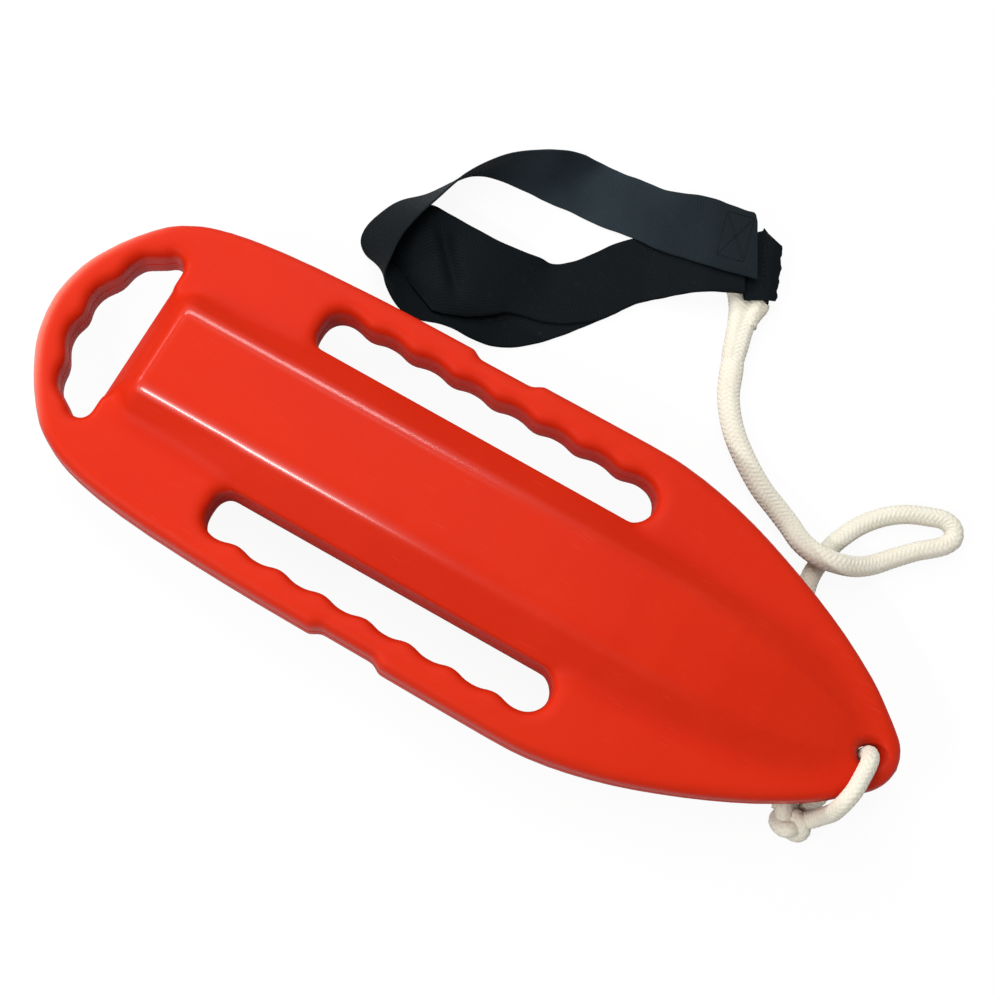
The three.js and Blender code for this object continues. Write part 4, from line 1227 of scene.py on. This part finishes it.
def handling_marks():
    """Fine scratches in patches, and the dust that settles between them."""
    tree, start, end = effect_group(
        "handling_marks", {"Place": None, "Amount": 1.0}, ("Scratch", "Dust")
    )
    total = 0.0
    for turn, length in SCRATCH_SETS:
        inputs = {"Vector": start["Place"], "Rotation": (0, 0, turn), "Scale": (length, 1300, 60)}
        lines = noise(tree, add_node(tree, "ShaderNodeMapping", inputs).outputs[0], 1.0, 1.0)
        total = maths(tree, "MAXIMUM", total, ramped(tree, lines, 0.70, 0.78))
    patch = ramped(tree, noise(tree, start["Place"], 24, 2.0), 0.46, 0.64)
    feed(tree, end["Scratch"], times(tree, times(tree, total, patch), start["Amount"]))
    dust = ramped(tree, noise(tree, start["Place"], 190, 5.0, 0.7), 0.56, 0.74)
    feed(tree, end["Dust"], times(tree, dust, start["Amount"]))
    return tree


def woven_band():
    """Ribbed webbing from its run: x across and y along, in metres. Cords of the warp float
    over the weft in humps, and each hump is a step further on than its neighbour's."""
    inputs = {"Run": None, "Cord Width": 0.0016, "Float Length": 0.0023}
    tree, start, end = effect_group("woven_band", inputs, ("Height", "Shade"))
    run = add_node(tree, "ShaderNodeSeparateXYZ", {0: start["Run"]}).outputs
    cord = maths(tree, "DIVIDE", run[0], start["Cord Width"])
    step = maths(tree, "PINGPONG", maths(tree, "FLOOR", cord), 3.0)
    along = added(tree, maths(tree, "DIVIDE", run[1], start["Float Length"]), (step, 0.34))
    humps = []
    for value, power in ((cord, 0.6), (along, 0.45)):
        hump = maths(tree, "SINE", times(tree, maths(tree, "FRACT", value), math.pi))
        humps.append(maths(tree, "POWER", hump, power))
    weave = times(tree, *humps)
    feed(tree, end["Height"], weave)
    fuzz = noise(tree, start["Run"], 900, 3.0, 0.7)
    feed(tree, end["Shade"], added(tree, times(tree, weave, 0.75), (fuzz, 0.35)))
    return tree


def twisted_yarn():
    """Fine yarns along the strands, from the run in braid cells, with slow soiling."""
    tree, start, end = effect_group("twisted_yarn", {"Run": None, "Place": None}, ("Height", "Soil"))
    inputs = {"Vector": start["Run"], "Scale": (9.0, 3.2, 1.0)}
    stretched = add_node(tree, "ShaderNodeMapping", inputs).outputs[0]
    feed(tree, end["Height"], noise(tree, stretched, 1.6, 3.0, 0.6))
    feed(tree, end["Soil"], ramped(tree, noise(tree, start["Place"], 34, 4.0, 0.6), 0.38, 0.68))
    return tree


# ---- materials
def new_material(name, specular):
    material = bpy.data.materials.new(name)
    material.use_nodes = True
    shader = material.node_tree.nodes["Principled BSDF"]
    shader.inputs["Specular IOR Level"].default_value = specular
    return material, material.node_tree, shader


def use_group(tree, group, **inputs):
    return add_node(tree, "ShaderNodeGroup", inputs, node_tree=group).outputs


def blended(tree, share, under, over):
    """Colour under where the share is 0, and colour over where it is 1."""
    inputs = {0: share, 6: under, 7: over}
    return add_node(tree, "ShaderNodeMix", inputs, data_type="RGBA").outputs[2]


def layered(tree, colour, *layers):
    """The colour under layers of others, each with its mask and its strength."""
    for mask, strength, over in layers:
        colour = blended(tree, times(tree, mask, strength), colour, over)
    return colour


def read_value(tree, name):
    return add_node(tree, "ShaderNodeAttribute", attribute_name=name).outputs["Fac"]


def object_place(tree):
    return tree.nodes.new("ShaderNodeTexCoord").outputs["Object"]


def finish_surface(tree, shader, colour, rough, height, depth, **more):
    """Feeds the shader its colour, roughness, bumps of the stated depth in metres, and any
    more inputs by their names."""
    bump = add_node(tree, "ShaderNodeBump", {"Height": height, "Distance": depth, "Strength": 1.0})
    feeds = {"Base Color": colour, "Roughness": rough, "Normal": bump.outputs[0]}
    for label, value in more.items():
        feeds[label.replace("_", " ").title()] = value
    for label, value in feeds.items():
        feed(tree, shader.inputs[label], value)


def moulded_red(groups):
    material, tree, shader = new_material("moulded_red", 0.08)
    place = object_place(tree)
    grain = use_group(tree, groups["grain"], Place=place)
    marks = use_group(tree, groups["marks"], Place=place, Amount=0.8)
    cloud, scratch = grain["Cloud"], marks["Scratch"]
    colour = layered(
        tree, blended(tree, cloud, (0.490, 0.0150, 0.0020), (0.510, 0.0172, 0.0024)),
        # Painted shade: the hollows of the skin are painted darker.
        (read_value(tree, "hollow"), 0.5, (0.40, 0.004, 0.0015)),
        # Painted highlight: the edges that stand out are painted lighter.
        (read_value(tree, "edge"), 0.2, (0.59, 0.030, 0.011)),
        # Painted glare: the rear end is painted paler, as a painted highlight.
        (read_value(tree, "painted_tail_glare"), 0.65, (0.80, 0.27, 0.19)),
        (scratch, 0.30, (0.70, 0.08, 0.05)),
        (marks["Dust"], 0.035, (0.55, 0.13, 0.10)),
    )
    rough = added(tree, 0.47, (cloud, 0.07), (scratch, 0.15))
    height = added(tree, grain["Height"], (scratch, -0.25))
    polish = read_value(tree, "ridge")
    finish_surface(
        tree, shader, colour, rough, height, 0.00016, coat_weight=polish, coat_roughness=0.19
    )
    return material


def plug_red(groups):
    material, tree, shader = new_material("turned_plug_red", 0.25)
    place = object_place(tree)
    grain = use_group(tree, groups["grain"], Place=place, Fineness=2.2)
    marks = use_group(tree, groups["marks"], Place=place, Amount=1.0)
    colour = layered(
        tree, blended(tree, grain["Cloud"], (0.50, 0.010, 0.004), (0.58, 0.014, 0.006)),
        (marks["Scratch"], 0.4, (0.78, 0.14, 0.10)),
    )
    rough = added(tree, 0.36, (grain["Cloud"], 0.1))
    finish_surface(tree, shader, colour, rough, grain["Height"], 0.0001)
    return material


def cream_braid(groups):
    material, tree, shader = new_material("cream_braid", 0.15)
    run = tree.nodes.new("ShaderNodeUVMap").outputs[0]
    yarn = use_group(tree, groups["yarn"], Run=run, Place=object_place(tree))
    # Painted shade: the gaps between the strands and the furrows of the yarns are painted darker.
    painted_gap_shade = ramped(tree, read_value(tree, "crown"), 0.12, 0.62, 1.0, 0.0)
    painted_furrow_shade = ramped(tree, yarn["Height"], 0.35, 0.62, 1.0, 0.0)
    colour = layered(
        tree, blended(tree, yarn["Soil"], (0.715, 0.688, 0.588), (0.685, 0.645, 0.535)),
        (painted_gap_shade, 0.62, (0.54, 0.485, 0.37)),
        (painted_furrow_shade, 0.14, (0.62, 0.57, 0.46)),
    )
    rough = added(tree, 0.72, (yarn["Height"], 0.2))
    finish_surface(
        tree, shader, colour, rough, yarn["Height"], 0.0003, sheen_weight=0.2, sheen_roughness=0.5
    )
    return material


# The loop's far run near its sewn end is painted lighter, as painted light, between these lengths along it in metres.
PAINTED_LIGHT_START, PAINTED_LIGHT_END = (0.05, 0.12), (0.16, 0.33)
PAINTED_LIGHT_SHARE = 0.75


def black_webbing(groups, name, with_painted_light):
    material, tree, shader = new_material(name, 0.05)
    place = object_place(tree)
    run = tree.nodes.new("ShaderNodeUVMap").outputs[0]
    weave = use_group(tree, groups["weave"], Run=run)
    marks = use_group(tree, groups["marks"], Place=place, Amount=0.8)
    colour = blended(tree, weave["Shade"], (0.0020, 0.0032, 0.0040), (0.0040, 0.0062, 0.0077))
    # Painted light: the far run of the loop, near its sewn end, is painted lighter.
    if with_painted_light:
        along = add_node(tree, "ShaderNodeSeparateXYZ", {0: run}).outputs[1]
        starts = ramped(tree, along, *PAINTED_LIGHT_START, 0.4, 1.0)
        painted_light_mask = times(tree, ramped(tree, along, *PAINTED_LIGHT_END, 1.0, 0.0), starts)
        patchy = ramped(tree, noise(tree, place, 18, 3.0), 0.2, 0.8, 0.55, 1.0)
        light = blended(tree, weave["Shade"], (0.014, 0.023, 0.029), (0.034, 0.050, 0.062))
        colour = layered(tree, colour, (times(tree, painted_light_mask, patchy), PAINTED_LIGHT_SHARE, light))
    colour = layered(tree, colour, (marks["Dust"], 0.05, (0.10, 0.11, 0.11)))
    rough = ramped(tree, weave["Shade"], 0.0, 1.0, 0.78, 0.56)
    finish_surface(
        tree, shader, colour, rough, weave["Height"], 0.00016, sheen_weight=0.02, sheen_roughness=0.4
    )
    return material


def black_thread():
    material, tree, shader = new_material("black_thread", 0.15)
    twist = noise(tree, object_place(tree), 1900, 1.0)
    colour = blended(tree, twist, (0.0016, 0.0022, 0.0027), (0.0070, 0.0085, 0.0100))
    finish_surface(tree, shader, colour, ramped(tree, twist, 0.2, 0.8, 0.6, 0.42), twist, 0.0002)
    return material


def cream_foam():
    material, tree, shader = new_material("cream_foam", 0.1)
    inputs = {"Vector": object_place(tree), "Scale": 900.0}
    cells = add_node(tree, "ShaderNodeTexVoronoi", inputs).outputs["Distance"]
    colour = blended(tree, cells, (0.62, 0.50, 0.25), (0.82, 0.74, 0.47))
    finish_surface(tree, shader, colour, ramped(tree, cells, 0.0, 1.0, 0.98, 0.85), cells, 0.0006)
    return material


# ---- the whole buoy
place_camera()
set_up_studio()
groups = {
    "grain": moulded_grain(), "marks": handling_marks(), "weave": woven_band(), "yarn": twisted_yarn(),
}
make_ropes(cream_braid(groups))
red = moulded_red(groups)
skin = float_skin(red)
parting_line(skin, red)
filling_plug(plug_red(groups))

painted_light_webbing = black_webbing(groups, "black_webbing_painted_light", True)
plain_webbing = black_webbing(groups, "black_webbing", False)
loop_edges = station_edges(LOOP_SHARES, LOOP_NUDGES)
tail_edges = [
    np.vstack([np.array([pair[k] for pair in TAIL_END_EDGES]) * MM, edge])
    for k, edge in enumerate(station_edges(TAIL_SHARES, TAIL_NUDGES))
]
loop, loop_length = webbing_band(
    "shoulder_band", loop_edges, painted_light_webbing, "shoulder_strap", 5, round_end=CORNER_ROUND
)
tail, tail_length = webbing_band(
    "strap_end_band", tail_edges, plain_webbing, "strap_tail", 9, fold=TAIL_FOLD
)
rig.sheet(loop, flat=(STRAP_WIDTH, loop_length), held="laid", rests_on=[])
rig.sheet(tail, flat=(STRAP_WIDTH, tail_length), held="laid", rests_on=[loop])
webbing_sleeve(plain_webbing)
make_stitches(black_thread())

foam = frame["nodes"]["foam_core"]
foam.data.materials.clear()
foam.data.materials.append(cream_foam())

boxes = {"cad": cad_box, "visual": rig.bounds()}
sizes = {name: [list(map(float, p)) for p in box] for name, box in boxes.items()}
with open("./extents.json", "w") as out:
    json.dump(sizes, out)
